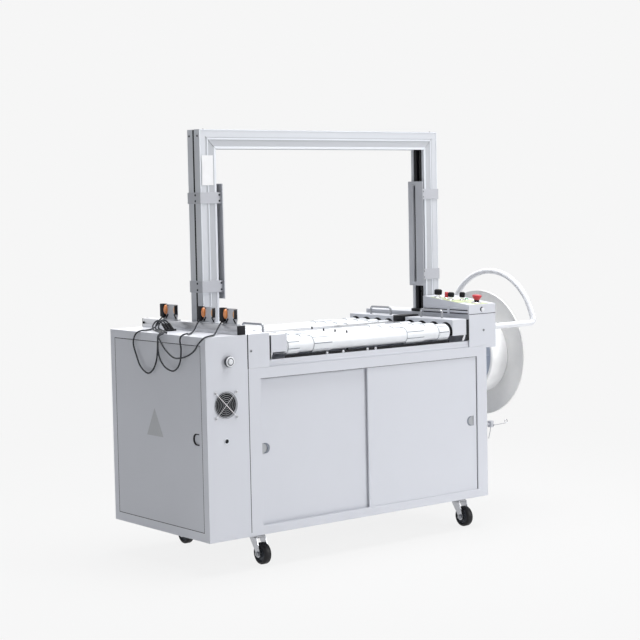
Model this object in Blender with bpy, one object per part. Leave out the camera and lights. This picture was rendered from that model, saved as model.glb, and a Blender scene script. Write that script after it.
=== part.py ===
"""Automatic arch strapping machine: cabinet, main frame, arch, lifting roller tables, reel and casters.

X runs along the machine, Y from the front face to the back, Z up. All sizes are in metres.
The datum empty carries every piece: its own origin is the seam between the electrical cabinet
and the main frame, at the front face and on the floor.
"""

import math

import bmesh
import bpy
from mathutils import Matrix, Vector

# Driving dimensions
CABINET_WIDTH = 0.168
BODY_LENGTH = 1.082
REEL_REACH = 0.319
DEPTH = 0.584
KNOB_REACH = 0.018
CASTER_HEIGHT = 0.115
DECK = 0.672
CABINET_TOP = 0.785
MACHINE_TOP = 1.466
WALL = 0.0025
GAP = 0.0003

OVERALL_LENGTH = CABINET_WIDTH + BODY_LENGTH + REEL_REACH
SEAM_X = CABINET_WIDTH - OVERALL_LENGTH / 2
FRONT_Y = -(DEPTH - KNOB_REACH) / 2
MIDDLE_Y = DEPTH / 2

# Front opening and the two door tracks behind it
OPENING_X = (0.050, 1.034)
OPENING_Z = (0.145, 0.636)
DOOR_THICKNESS = 0.006
FRONT_TRACK_Y = 0.004
REAR_TRACK_Y = 0.014
TRACK_DEPTH = 0.005
PULL_RADIUS = 0.018
PULL_DEPTH = 0.0035

# Housings beside the tables
LEFT_HOUSING_X = (GAP, 0.089)
RIGHT_HOUSING_X = (0.997, 1.131)
RIGHT_HOUSING_BASE = 0.665
RIGHT_HOUSING_TOP = 0.791

# Lifting tables
TABLE_DEPTH = 0.258
RAIL_Z = (0.719, 0.777)
LEFT_RAIL_X = (0.096, 0.161)
RIGHT_RAIL_X = (0.914, 0.982)
ROLLER_Z = 0.733
ROLLER_Y = (0.035, 0.100, 0.165, 0.230)
ROLLER_RADIUS = 0.030
JOURNAL_RADIUS = 0.006
JOURNAL_DEPTH = 0.011
PIVOT_RADIUS = 0.008
HANDLE_RADIUS = 0.004
HANDLE_Y = (0.090, 0.205)
HANDLE_TOP = 0.806

# Arch
ARCH_X = (0.003, 1.083)
ARCH_FACE = 0.066
ARCH_Y = (0.257, 0.327)
PROFILE_DEPTH = 0.032
FLANGE = 0.003
INNER_RETURN = 0.012
ARCH_FOOT = DECK + 0.0005
BRACKET_Z = {"lower": (0.913, 0.953), "upper": (1.215, 1.253)}
GUARD_Z = (0.890, 1.282)

# Control panel: the top of the control box slopes down to the operator
PANEL_FRONT = 0.826
PANEL_SLOPE = 0.105
CONTROL_BOX_DEPTH = 0.250
PANEL_NORMAL = Vector((0, -PANEL_SLOPE, 1)).normalized()
STEM_DEPTH = 0.022

# Reel and hoop
REEL_Y = 0.292
REEL_Z = 0.613
DRUM_X = (1.245, 1.325)
FLANGE_X = (1.325, 1.333)
DRUM_RADIUS = 0.156
REEL_RADIUS = 0.243
SHAFT_RADIUS = 0.012
HOOP_RADIUS = 0.236
HOOP_TUBE = 0.011
HOOP_CENTRE = (0.290, 0.692)
HOOP_X = OVERALL_LENGTH - CABINET_WIDTH - HOOP_TUBE
HOOP_LEG_Z = 0.735
HOOP_LEG_OFFSET = 0.232

# Casters
CASTER_X = (0.085, 1.015)
SWIVEL_Y = (0.088, 0.496)
CASTER_TRAIL = 0.028
WHEEL_RADIUS = 0.0375
WHEEL_HALF = 0.014

# Fan and main switch on the cabinet's front
FAN_X = -0.092
FAN_Z = 0.561
FAN_BORE = 0.0415
FAN_SIZE = 0.092
SWITCH_X = -0.080
SWITCH_Z = 0.702

# Sensor cables
CABLE_DIAMETER = 0.0055
GLAND_X = (-0.092, -0.080, -0.068)
GLAND_TIP = (0.366, 0.808)

datum = None


def arc(centre, radius, start, stop, steps):
    """Points of a round stretch in a plane, from one angle to another in degrees."""
    angles = [math.radians(start + (stop - start) * i / steps) for i in range(steps + 1)]
    return [(centre[0] + radius * math.cos(a), centre[1] + radius * math.sin(a)) for a in angles]


def closed_mesh(bm):
    bmesh.ops.recalc_face_normals(bm, faces=bm.faces)
    mesh = bpy.data.meshes.new("shape")
    bm.to_mesh(mesh)
    bm.free()
    mesh.shade_smooth()
    mesh.set_sharp_from_angle(angle=math.radians(35))
    return mesh


def block(low, high):
    bm = bmesh.new()
    low, high = Vector(low), Vector(high)
    place = Matrix.Translation((low + high) / 2) @ Matrix.Diagonal((*(high - low), 1))
    bmesh.ops.create_cube(bm, size=1, matrix=place)
    return closed_mesh(bm)


def loft(rings, closed=False):
    """Skin over rings of equally many points, capped at both ends unless it closes on itself."""
    bm = bmesh.new()
    loops = [[bm.verts.new(point) for point in ring] for ring in rings]
    pairs = list(zip(loops, loops[1:]))
    if closed:
        pairs.append((loops[-1], loops[0]))
    else:
        bm.faces.new(loops[0][::-1])
        bm.faces.new(loops[-1])
    for one, other in pairs:
        for i, vert in enumerate(one):
            following = (i + 1) % len(one)
            bm.faces.new((vert, one[following], other[following], other[i]))
    return closed_mesh(bm)


def ring_around(centre, along, radius, sides, turn=0.0):
    along = Vector(along).normalized()
    reference = Vector((0, 0, 1)) if abs(along.z) < 0.9 else Vector((1, 0, 0))
    side = along.cross(reference).normalized()
    up = side.cross(along)
    angles = [turn + 2 * math.pi * i / sides for i in range(sides)]
    return [Vector(centre) + radius * (math.cos(a) * side + math.sin(a) * up) for a in angles]


def turned(profile, centre, axis, sides=16, closed=False, turn=0.0):
    """A turned shape: profile holds (distance along the axis, radius) pairs."""
    along = Vector(axis).normalized()
    rings = [ring_around(Vector(centre) + along * d, along, r, sides, turn) for d, r in profile]
    return loft(rings, closed)


def rod(start, end, radius, sides=12):
    along = Vector(end) - Vector(start)
    return turned([(0, radius), (along.length, radius)], start, along, sides)


def tube(points, radius, sides=8):
    """A bent rod through the given points, its rings set square to the path."""
    points = [Vector(p) for p in points]
    rings = []
    side = None
    for i, point in enumerate(points):
        along = (points[min(i + 1, len(points) - 1)] - points[max(i - 1, 0)]).normalized()
        if side is None:
            side = along.orthogonal().normalized()
        side = (side - along * side.dot(along)).normalized()
        up = along.cross(side)
        angles = [2 * math.pi * k / sides for k in range(sides)]
        rings.append([point + radius * (math.cos(a) * side + math.sin(a) * up) for a in angles])
    return loft(rings)


def prism(outline, axis, low, high):
    """An outline pushed along an axis: (y, z) points along x, (x, z) points along y."""
    if axis == "x":
        rings = [[(d, a, b) for a, b in outline] for d in (low, high)]
    else:
        rings = [[(a, d, b) for a, b in outline] for d in (low, high)]
    return loft(rings)


def finish(name, colour, roughness, metallic=0.0):
    """The Principled material of a name, made once."""
    material = bpy.data.materials.get(name)
    if material is None:
        material = bpy.data.materials.new(name)
        material.use_nodes = True
        shader = material.node_tree.nodes["Principled BSDF"]
        shader.inputs["Base Color"].default_value = (*colour, 1)
        shader.inputs["Roughness"].default_value = roughness
        shader.inputs["Metallic"].default_value = metallic
    return material


def body_paint():
    return finish("body_paint", (0.72, 0.73, 0.76), 0.45)


def arch_paint():
    return finish("arch_paint", (0.66, 0.67, 0.70), 0.4)


def roller_plastic():
    return finish("roller_plastic", (0.82, 0.83, 0.85), 0.35)


def black_plastic():
    return finish("black_plastic", (0.02, 0.02, 0.022), 0.45)


def zinc():
    return finish("zinc", (0.55, 0.56, 0.58), 0.3, 1.0)


def aluminium():
    return finish("aluminium", (0.62, 0.63, 0.65), 0.35, 1.0)


def machined_steel():
    return finish("machined_steel", (0.45, 0.46, 0.48), 0.35, 1.0)


def piece(name, material, shapes, cuts=(), pivot=(0, 0, 0)):
    """One named solid: the shapes are joined, the cuts are taken out, its origin is the pivot."""
    pivot = Vector(pivot)
    body = shapes[0]
    body.name = name
    body.transform(Matrix.Translation(-pivot))
    obj = bpy.data.objects.new(name, body)
    obj.location = pivot
    obj.parent = datum
    bpy.context.scene.collection.objects.link(obj)
    for operation, meshes in (("UNION", shapes[1:]), ("DIFFERENCE", cuts)):
        for mesh in meshes:
            helper = bpy.data.objects.new(f"{name}_{operation.lower()}", mesh)
            helper.parent = datum
            helper.hide_render = True
            helper.display_type = "WIRE"
            bpy.context.scene.collection.objects.link(helper)
            modifier = obj.modifiers.new(operation.title(), "BOOLEAN")
            modifier.operation = operation
            modifier.solver = "EXACT"
            modifier.object = helper
    for mesh in (body, *shapes[1:], *cuts):
        mesh.materials.append(material)
    return obj


def corners(xs, ys):
    return [(x, y) for y in ys for x in xs]


def main_frame():
    """Welded sheet body with a deck, two door tracks, table rests and caster plates."""
    shapes = [block((0, 0, CASTER_HEIGHT), (BODY_LENGTH, DEPTH, DECK))]
    lip_ends = (LEFT_HOUSING_X[1] + 0.004, RIGHT_HOUSING_X[0] - 0.0005)
    shapes.append(block((lip_ends[0], 0.006, DECK - 0.002), (lip_ends[1], 0.009, 0.695)))
    for x, y in corners((0.112, 0.932), (0.190, 0.364)):
        shapes.append(block((x, y, DECK - 0.002), (x + 0.032, y + 0.030, RAIL_Z[0] - GAP)))
    for x, y in corners(CASTER_X, SWIVEL_Y):
        shapes.append(block((x - 0.03, y - 0.03, 0.108), (x + 0.03, y + 0.03, CASTER_HEIGHT + 0.002)))
    (x0, x1), (z0, z1) = OPENING_X, OPENING_Z
    cuts = [
        block((0.003, 0.024, CASTER_HEIGHT + 0.003), (BODY_LENGTH - 0.003, 0.560, DECK - 0.012)),
        block((x0, -0.01, z0), (x1, 0.03, z1)),
        block((x0, 0.577, z0), (x1, 0.6, z1)),
        block((x0 + 0.01, 0.55, z0 + 0.01), (x1 - 0.01, 0.58, z1 - 0.01)),
        block((0.36, 0.21, DECK - 0.02), (0.72, 0.374, DECK + 0.01)),
    ]
    for track in (FRONT_TRACK_Y, REAR_TRACK_Y):
        low = (x0, track - 0.0005, z0 - TRACK_DEPTH)
        high = (x1, track + DOOR_THICKNESS + 0.0005, z1 + TRACK_DEPTH)
        cuts.append(block(low, high))
    piece("main_frame", body_paint(), shapes, cuts)


def pull_outline(x, z, side):
    """D-shaped finger pull: flat on the given side, round on the other."""
    start = 90 if side > 0 else -90
    flat = x + side * 0.016
    round_stretch = arc((x, z), PULL_RADIUS, start, start + 180, 8)
    if side > 0:
        return [*round_stretch, (flat, z - PULL_RADIUS), (flat, z + PULL_RADIUS)]
    return [*round_stretch, (flat, z + PULL_RADIUS), (flat, z - PULL_RADIUS)]


def sliding_doors():
    z0 = OPENING_Z[0] - TRACK_DEPTH / 2
    z1 = OPENING_Z[1] + TRACK_DEPTH / 2
    for name, ends, track, pull in (
        ("sliding_door_left", (0.053, 0.535), REAR_TRACK_Y, (0.074, -1)),
        ("sliding_door_right", (0.512, 1.031), FRONT_TRACK_Y, (1.001, 1)),
    ):
        leaf = block((ends[0], track, z0), (ends[1], track + DOOR_THICKNESS, z1))
        outline = pull_outline(pull[0], 0.400, pull[1])
        recess = prism(outline, "y", track - 0.01, track + PULL_DEPTH)
        pivot = ((ends[0] + ends[1]) / 2, track, z0)
        piece(name, body_paint(), [leaf], [recess], pivot)


def rear_panel():
    (x0, x1), (z0, z1) = OPENING_X, OPENING_Z
    panel = block((x0 + 0.002, 0.5775, z0 + 0.002), (x1 - 0.002, 0.583, z1 - 0.002))
    piece("rear_panel", body_paint(), [panel])


def electrical_cabinet():
    x0, x1 = -CABINET_WIDTH, -GAP
    shell = block((x0, 0, CASTER_HEIGHT), (x1, DEPTH, CABINET_TOP))
    low = (x0 + 0.0105, WALL, CASTER_HEIGHT + WALL)
    high = (x1 - WALL, DEPTH - WALL, CABINET_TOP - WALL)
    cuts = [
        block(low, high),
        block((x0 - 0.01, 0.030, 0.145), (x0 + 0.0065, 0.556, 0.757)),
        block((x0 + 0.003, 0.038, 0.153), (x0 + 0.02, 0.548, 0.749)),
        rod((FAN_X, -0.01, FAN_Z), (FAN_X, 0.01, FAN_Z), FAN_BORE, 20),
        rod((SWITCH_X, -0.02, SWITCH_Z), (SWITCH_X, 0.01, SWITCH_Z), 0.0075, 12),
    ]
    piece("electrical_cabinet", body_paint(), [shell], cuts)


def cabinet_door():
    x0 = -CABINET_WIDTH
    leaf = block((x0, 0.0315, 0.1465), (x0 + DOOR_THICKNESS, 0.5545, 0.7555))
    outline = [*arc((0.0645, 0.4495), 0.0195, -90, 90, 8), (0.0465, 0.469), (0.0465, 0.430)]
    recess = prism(outline, "x", x0 - 0.01, x0 + 0.0038)
    piece("cabinet_door", body_paint(), [leaf], [recess], (x0, 0.556, 0.1465))


def left_housing():
    x0, x1 = LEFT_HOUSING_X
    shell = block((x0, 0, DECK + GAP), (x1, DEPTH, CABINET_TOP))
    cuts = [
        block((x0 + WALL, WALL, DECK - 0.01), (x1 - WALL, DEPTH - WALL, CABINET_TOP - WALL)),
        block((x0 + 0.0022, 0.2565, CABINET_TOP - 0.01), (0.0694, 0.3275, CABINET_TOP + 0.01)),
    ]
    for y in (ROLLER_Y[0], DEPTH - ROLLER_Y[0]):
        cuts.append(rod((x1 - 0.01, y, ROLLER_Z), (x1 + 0.01, y, ROLLER_Z), PIVOT_RADIUS + 0.0006))
    piece("left_housing", body_paint(), [shell], cuts)


def right_housing():
    (x0, x1), top = RIGHT_HOUSING_X, RIGHT_HOUSING_TOP
    shell = block((x0, 0, RIGHT_HOUSING_BASE), (x1, DEPTH, top))
    cuts = [
        block((x0 - 0.01, -0.01, DECK - 0.02), (BODY_LENGTH + GAP, DEPTH + 0.01, DECK + GAP)),
        block((x0 + WALL, WALL, DECK - 0.03), (x1 - WALL, DEPTH - WALL, top - WALL)),
        block((1.0166, 0.2565, top - 0.01), (1.0834, 0.3275, top + 0.01)),
    ]
    for y in (ROLLER_Y[0], DEPTH - ROLLER_Y[0]):
        cuts.append(rod((x0 - 0.01, y, ROLLER_Z), (x0 + 0.01, y, ROLLER_Z), PIVOT_RADIUS + 0.0006))
    for side in (-1, 1):
        y = HOOP_CENTRE[0] + side * HOOP_LEG_OFFSET
        cuts.append(rod((x1 - 0.01, y, HOOP_LEG_Z), (x1 + 0.01, y, HOOP_LEG_Z), HOOP_TUBE + 0.0008))
    piece("right_housing", body_paint(), [shell], cuts)


def on_panel(x, y, height=0.0):
    """A point above the sloping panel, measured square to it."""
    return Vector((x, y, PANEL_FRONT + PANEL_SLOPE * y)) + height * PANEL_NORMAL


# name: (x, y, cap radius, height, kind, colour)
CONTROLS = {
    "speed_dial": (1.018, 0.190, 0.0130, 0.016, "dial", (0.02, 0.02, 0.02)),
    "reset_button": (1.037, 0.164, 0.0070, 0.008, "button", (0.55, 0.03, 0.02)),
    "tension_dial": (1.023, 0.125, 0.0105, 0.015, "dial", (0.02, 0.02, 0.02)),
    "mode_selector": (1.059, 0.103, 0.0080, 0.018, "dial", (0.02, 0.02, 0.02)),
    "start_button": (1.076, 0.096, 0.0065, 0.008, "button", (0.03, 0.35, 0.08)),
    "emergency_stop": (1.066, 0.032, 0.0175, 0.030, "mushroom", (0.60, 0.03, 0.03)),
}


def control_box():
    x0, x1 = RIGHT_HOUSING_X[0] + 0.0005, RIGHT_HOUSING_X[1] + 0.0005
    base = RIGHT_HOUSING_TOP + GAP
    rear_top = PANEL_FRONT + PANEL_SLOPE * CONTROL_BOX_DEPTH
    side = [(GAP, base), (CONTROL_BOX_DEPTH, base), (CONTROL_BOX_DEPTH, rear_top), (GAP, PANEL_FRONT)]
    shapes = [prism(side, "x", x0, x1)]
    cuts = []
    for x, y, radius, _, kind, _ in CONTROLS.values():
        bezel = 0.0025
        shapes.append(rod(on_panel(x, y, -0.002), on_panel(x, y, bezel), radius + 0.002, 16))
        stem = 0.0106 if kind == "mushroom" else 0.0036
        cuts.append(rod(on_panel(x, y, -STEM_DEPTH), on_panel(x, y, 0.01), stem, 10))
        if kind == "button":
            cuts.append(rod(on_panel(x, y, -0.004), on_panel(x, y, 0.01), radius + 0.0005, 16))
    piece("control_box", body_paint(), shapes, cuts)


def controls():
    for name, (x, y, radius, height, kind, colour) in CONTROLS.items():
        if kind == "mushroom":
            profile = [(-0.016, 0.0100), (0.014, 0.0100), (0.014, radius), (0.022, radius)]
            profile += [(height - 0.002, radius * 0.8), (height, radius * 0.4)]
        else:
            foot = 0.0 if kind == "button" else 0.0029
            profile = [(-0.016, 0.0030), (foot, 0.0030), (foot, radius)]
            profile += [(height - 0.001, radius), (height, radius * 0.85)]
        cap = turned(profile, on_panel(x, y), PANEL_NORMAL, 16)
        piece(name, finish(name, colour, 0.35), [cap], (), on_panel(x, y))


def table_y(y, rear):
    return DEPTH - y if rear else y


def table_block(x0, x1, y0, y1, z0, z1, rear):
    ends = sorted((table_y(y0, rear), table_y(y1, rear)))
    return block((x0, ends[0], z0), (x1, ends[1], z1))


def lifting_table(name, rear):
    """Two side rails joined by tie bars, with pivot pins at the outer end and a rod handle on each."""
    shapes = [table_block(*LEFT_RAIL_X, 0, TABLE_DEPTH, *RAIL_Z, rear)]
    shapes.append(table_block(*RIGHT_RAIL_X, 0, TABLE_DEPTH, *RAIL_Z, rear))
    webs = ((LEFT_RAIL_X[1] - 0.006, LEFT_RAIL_X[1]), (RIGHT_RAIL_X[0], RIGHT_RAIL_X[0] + 0.006))
    for x0, x1 in webs:
        shapes.append(table_block(x0, x1, 0.110, 0.215, 0.688, RAIL_Z[0] + 0.002, rear))
    for y in (0.120, 0.185):
        shapes.append(table_block(webs[0][0] + 0.001, webs[1][1] - 0.001, y, y + 0.020, 0.6885, 0.6975, rear))
    pivot_y = table_y(ROLLER_Y[0], rear)
    for x0, x1 in ((LEFT_HOUSING_X[1] - 0.007, LEFT_RAIL_X[0] + 0.002),
                   (RIGHT_RAIL_X[1] - 0.002, RIGHT_HOUSING_X[0] + 0.007)):
        shapes.append(rod((x0, pivot_y, ROLLER_Z), (x1, pivot_y, ROLLER_Z), PIVOT_RADIUS))
    for x in (0.130, 0.946):
        y0, y1 = HANDLE_Y
        low, bend = RAIL_Z[1] - 0.002, HANDLE_TOP - 0.008
        route = [(y0, low), (y0, bend), (y0 + 0.008, HANDLE_TOP), (y1 - 0.008, HANDLE_TOP), (y1, bend), (y1, low)]
        shapes.append(tube([(x, table_y(y, rear), z) for y, z in route], HANDLE_RADIUS, 6))
    cuts = []
    for y in ROLLER_Y:
        at = table_y(y, rear)
        for face in (LEFT_RAIL_X[1], RIGHT_RAIL_X[0]):
            start, end = (face - 0.013, at, ROLLER_Z), (face + 0.013, at, ROLLER_Z)
            cuts.append(rod(start, end, JOURNAL_RADIUS + 0.0008, 12))
    piece(name, body_paint(), shapes, cuts, (0, pivot_y, ROLLER_Z))


def rollers():
    x0, x1 = LEFT_RAIL_X[1] + 0.0015, RIGHT_RAIL_X[0] - 0.0015
    journal = JOURNAL_DEPTH
    profile = [(x0 - journal, JOURNAL_RADIUS), (x0, JOURNAL_RADIUS), (x0, ROLLER_RADIUS)]
    profile += [(x1, ROLLER_RADIUS), (x1, JOURNAL_RADIUS), (x1 + journal, JOURNAL_RADIUS)]
    for section, rear in (("front", False), ("rear", True)):
        for number, y in enumerate(ROLLER_Y, 1):
            at = table_y(y, rear)
            shape = turned(profile, (0, at, ROLLER_Z), (1, 0, 0), 16)
            piece(f"{section}_roller_{number}", roller_plastic(), [shape], (), (0, at, ROLLER_Z))


def centre_plate():
    """Inverted channel between the tables, slotted for the strap and open over the strapping head."""
    x0, x1 = LEFT_HOUSING_X[1] + 0.0015, RIGHT_HOUSING_X[0] - 0.0015
    cuts = [
        block((x0 - 0.01, 0.264, 0.740), (x1 + 0.01, 0.320, 0.757)),
        block((0.110, 0.288, 0.740), (0.430, 0.296, 0.770)),
        block((0.650, 0.288, 0.740), (0.975, 0.296, 0.770)),
        block((0.450, 0.276, 0.740), (0.630, 0.308, 0.770)),
    ]
    piece("centre_plate", zinc(), [block((x0, 0.262, 0.750), (x1, 0.322, 0.760))], cuts)


def arch_outline(outward, foot):
    """U outline of the arch, its inner opening moved outward by a distance."""
    return (ARCH_X[0] + ARCH_FACE - outward, ARCH_X[1] - ARCH_FACE + outward, MACHINE_TOP - ARCH_FACE + outward, foot)


def portal(outer, inner):
    (ax, bx, top, foot), (cx, dx, inner_top, _) = outer, inner
    return [(ax, foot), (ax, top), (bx, top), (bx, foot), (dx, foot), (dx, inner_top), (cx, inner_top), (cx, foot)]


def arch_profile(name, rear):
    """Pressed frame with a wide face, a deep outer flange and a short inner return."""
    def between(y0, y1):
        return sorted((table_y(y0, rear), table_y(y1, rear)))

    face, deep = ARCH_Y[0], ARCH_Y[0] + PROFILE_DEPTH
    whole = portal(arch_outline(ARCH_FACE, ARCH_FOOT), arch_outline(0, ARCH_FOOT))
    low = ARCH_FOOT - 0.01
    cavity = portal(arch_outline(ARCH_FACE - FLANGE, low), arch_outline(FLANGE, low))
    spare = portal(arch_outline(FLANGE + 0.001, low), arch_outline(-0.004, low))
    cuts = [
        prism(cavity, "y", *between(face + FLANGE, deep + 0.01)),
        prism(spare, "y", *between(face + INNER_RETURN, deep + 0.01)),
    ]
    piece(name, arch_paint(), [prism(whole, "y", *between(face, deep))], cuts)


def arch_strap_channel():
    """Plastic track that guides the strap round the inside of the arch."""
    shape = portal(arch_outline(0.028, ARCH_FOOT), arch_outline(0.0025, ARCH_FOOT))
    low = ARCH_FOOT - 0.01
    groove = portal(arch_outline(0.0145, low), arch_outline(-0.004, low))
    track = prism(shape, "y", ARCH_Y[0] + 0.0125, ARCH_Y[1] - 0.0125)
    piece("arch_strap_channel", black_plastic(), [track], [prism(groove, "y", 0.284, 0.300)])


def arch_brackets_and_guards():
    """U plates round the columns that carry a slotted side guard inside the arch."""
    thick = 0.003
    for side, outer, inner in (("left", ARCH_X[0], 0.084), ("right", ARCH_X[1], 1.002)):
        sign = 1 if side == "left" else -1
        back = outer - sign * (thick + GAP)
        for height, (z0, z1) in BRACKET_Z.items():
            whole_x = sorted((back, inner))
            hollow_x = sorted((outer - sign * GAP, inner + sign * 0.01))
            shape = block((whole_x[0], ARCH_Y[0] - thick - GAP, z0), (whole_x[1], ARCH_Y[1] + thick + GAP, z1))
            hollow = block((hollow_x[0], ARCH_Y[0] - GAP, z0 - 0.01), (hollow_x[1], ARCH_Y[1] + GAP, z1 + 0.01))
            piece(f"arch_bracket_{side}_{height}", arch_paint(), [shape], [hollow])
        guard_x = sorted((inner + sign * GAP, inner + sign * (GAP + thick)))
        z0, z1 = GUARD_Z
        guard = block((guard_x[0], 0.2455, z0), (guard_x[1], 0.3265, z1))
        slot = block((guard_x[0] - 0.01, 0.287, z0 + 0.015), (guard_x[1] + 0.01, 0.3005, z1 - 0.015))
        piece(f"side_guard_{side}", arch_paint(), [guard], [slot])


SENSOR_BAR_X = (-0.037, -0.007)
SENSOR_BAR_Z = (CABINET_TOP + GAP, CABINET_TOP + GAP + 0.030)
SENSORS = {"front": (0.018, 0.106), "middle": (0.143, 0.235), "rear": (0.372, 0.467)}


def sensor_bar():
    (x0, x1), (z0, z1) = SENSOR_BAR_X, SENSOR_BAR_Z
    middle_x, middle_z = (x0 + x1) / 2, (z0 + z1) / 2
    cuts = [
        block((middle_x - 0.004, -0.01, z1 - 0.006), (middle_x + 0.004, 0.6, z1 + 0.01)),
        block((x0 - 0.01, -0.01, middle_z - 0.004), (x0 + 0.006, 0.6, middle_z + 0.004)),
        block((x1 - 0.006, -0.01, middle_z - 0.004), (x1 + 0.01, 0.6, middle_z + 0.004)),
    ]
    piece("sensor_bar", aluminium(), [block((x0, 0.006, z0), (x1, 0.580, z1))], cuts)


def photo_sensors():
    """Sensor bodies on an upright plate, one piece with its foot on the bar."""
    base = SENSOR_BAR_Z[1] + GAP
    for place, (y0, y1) in SENSORS.items():
        shapes = [
            block((-0.0345, y0, base), (-0.0095, y1, base + 0.003)),
            block((-0.0345, y0, base + 0.001), (-0.0315, y1, 0.870)),
            block((-0.0375, y1 - 0.024, 0.826), (-0.0200, y1, 0.8715)),
            block((-0.0375, y0, 0.836), (-0.0200, y0 + 0.008, 0.867)),
        ]
        piece(f"photo_sensor_{place}", black_plastic(), shapes)


def cable_gland():
    """Foot plate with a row of sleeves that lean to the back."""
    shapes = [block((GLAND_X[0] - 0.006, 0.326, CABINET_TOP + GAP), (GLAND_X[-1] + 0.006, 0.350, 0.7915))]
    for x in GLAND_X:
        shapes.append(rod((x, 0.342, 0.790), (x, *GLAND_TIP), 0.0048, 8))
    piece("cable_gland", black_plastic(), shapes)


# Each cable from its sensor, over the cabinet's edge, hanging by its end face, to its sleeve.
# Hanging stretches lie in planes of their own, so that the cables pass each other.
HANG_X = {"rear": -0.178, "middle": -0.1845, "front": -0.191}
CABLE_STARTS = {
    "rear": [(-0.038, 0.456, 0.8215), (-0.048, 0.454, 0.814), (-0.070, 0.440, 0.797), (-0.105, 0.415, 0.7895),
             (-0.145, 0.392, 0.7890), (-0.167, 0.384, 0.7895)],
    "middle": [(-0.038, 0.224, 0.8215), (-0.048, 0.221, 0.813), (-0.070, 0.205, 0.796), (-0.105, 0.170, 0.7890),
               (-0.145, 0.128, 0.7895), (-0.168, 0.108, 0.7930)],
    "front": [(-0.038, 0.095, 0.8215), (-0.048, 0.091, 0.813), (-0.075, 0.070, 0.797), (-0.110, 0.034, 0.7890),
              (-0.147, 0.005, 0.7895), (-0.174, -0.003, 0.7850)],
}
CABLE_HANGS = {
    "rear": [(0.396, 0.782), (0.413, 0.766), (0.419, 0.742), (0.403, 0.708), (0.378, 0.670), (0.334, 0.649),
             (0.298, 0.664), (0.275, 0.699), (0.267, 0.742), (0.264, 0.770)],
    "middle": [(0.113, 0.786), (0.121, 0.770), (0.116, 0.743), (0.122, 0.704), (0.144, 0.677), (0.174, 0.668),
               (0.216, 0.679), (0.245, 0.705), (0.255, 0.735), (0.254, 0.762), (0.252, 0.780)],
    "front": [(0.006, 0.766), (0.026, 0.746), (0.060, 0.728), (0.100, 0.717), (0.151, 0.714), (0.201, 0.738),
              (0.230, 0.766), (0.238, 0.779)],
}
CABLE_EDGES = {"rear": (0.264, 0.031), "middle": (0.252, 0.022), "front": (0.239, 0.014)}


def cable_route(place, port_x):
    tip_y, tip_z = GLAND_TIP
    edge, drift = CABLE_EDGES[place]
    hang = [(HANG_X[place], y, z) for y, z in CABLE_HANGS[place]]
    over = [(-0.167, edge, 0.7897), (-0.150, edge + drift, 0.7892)]
    bend = [(port_x - 0.042, 0.340, 0.7892), (port_x - 0.035, 0.374, 0.7935), (port_x - 0.018, 0.394, 0.8085),
            (port_x - 0.006, 0.388, 0.8190)]
    tip = [(port_x, tip_y + 0.8 * out, tip_z + 0.6 * out) for out in (0.0120, 0.0060, 0.0006)]
    return CABLE_STARTS[place] + hang + over + bend + tip


def smooth_points(route, spacing):
    """Points at an even spacing on the smooth curve through a route."""
    route = [Vector(p) for p in route]
    padded = [2 * route[0] - route[1], *route, 2 * route[-1] - route[-2]]
    dense = []
    for a, b, c, d in zip(padded, padded[1:], padded[2:], padded[3:]):
        for i in range(24):
            t = i / 24
            dense.append(0.5 * (2 * b + (c - a) * t + (2 * a - 5 * b + 4 * c - d) * t * t
                                + (3 * b - a - 3 * c + d) * t * t * t))
    dense.append(route[-1])
    length = sum((q - p).length for p, q in zip(dense, dense[1:]))
    steps = round(length / spacing)
    points, walked, wanted = [dense[0]], 0.0, length / steps
    for p, q in zip(dense, dense[1:]):
        stride = (q - p).length
        while len(points) < steps and walked + stride >= wanted * len(points):
            points.append(p.lerp(q, (wanted * len(points) - walked) / stride))
        walked += stride
    points.append(dense[-1])
    return points


def sensor_cables():
    rubber = finish("cable_rubber", (0.03, 0.03, 0.035), 0.5)
    for place, port_x in zip(("rear", "middle", "front"), GLAND_X):
        curve = bpy.data.curves.new(f"sensor_cable_{place}", "CURVE")
        curve.dimensions = "3D"
        curve.bevel_depth = CABLE_DIAMETER / 2
        curve.bevel_resolution = 2
        curve.use_fill_caps = True
        points = smooth_points(cable_route(place, port_x), 2.0 * CABLE_DIAMETER)
        spline = curve.splines.new("POLY")
        spline.points.add(len(points) - 1)
        for slot, point in zip(spline.points, points):
            slot.co = (*point, 1)
        curve.materials.append(rubber)
        cable = bpy.data.objects.new(f"sensor_cable_{place}", curve)
        cable.parent = datum
        bpy.context.scene.collection.objects.link(cable)


def strapping_head():
    """Feed, seal and cut unit hung in the deck's opening, its anvil under the centre plate."""
    shapes = [
        block((0.38, 0.232, 0.500), (0.70, 0.352, 0.690)),
        block((0.44, 0.268, 0.680), (0.64, 0.316, 0.7565)),
        block((0.345, 0.200, DECK + GAP), (0.735, 0.384, 0.6795)),
    ]
    for x in (0.450, 0.530):
        shapes.append(rod((x, 0.350, 0.585), (x, 0.370, 0.585), 0.032, 16))
    piece("strapping_head", machined_steel(), shapes)


def drive_motor():
    barrel = rod((0.390, MIDDLE_Y, 0.4546), (0.585, MIDDLE_Y, 0.4546), 0.045, 16)
    gearbox = block((0.580, 0.250, 0.410), (0.660, 0.334, 0.4996))
    piece("drive_motor", machined_steel(), [barrel, gearbox])


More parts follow.
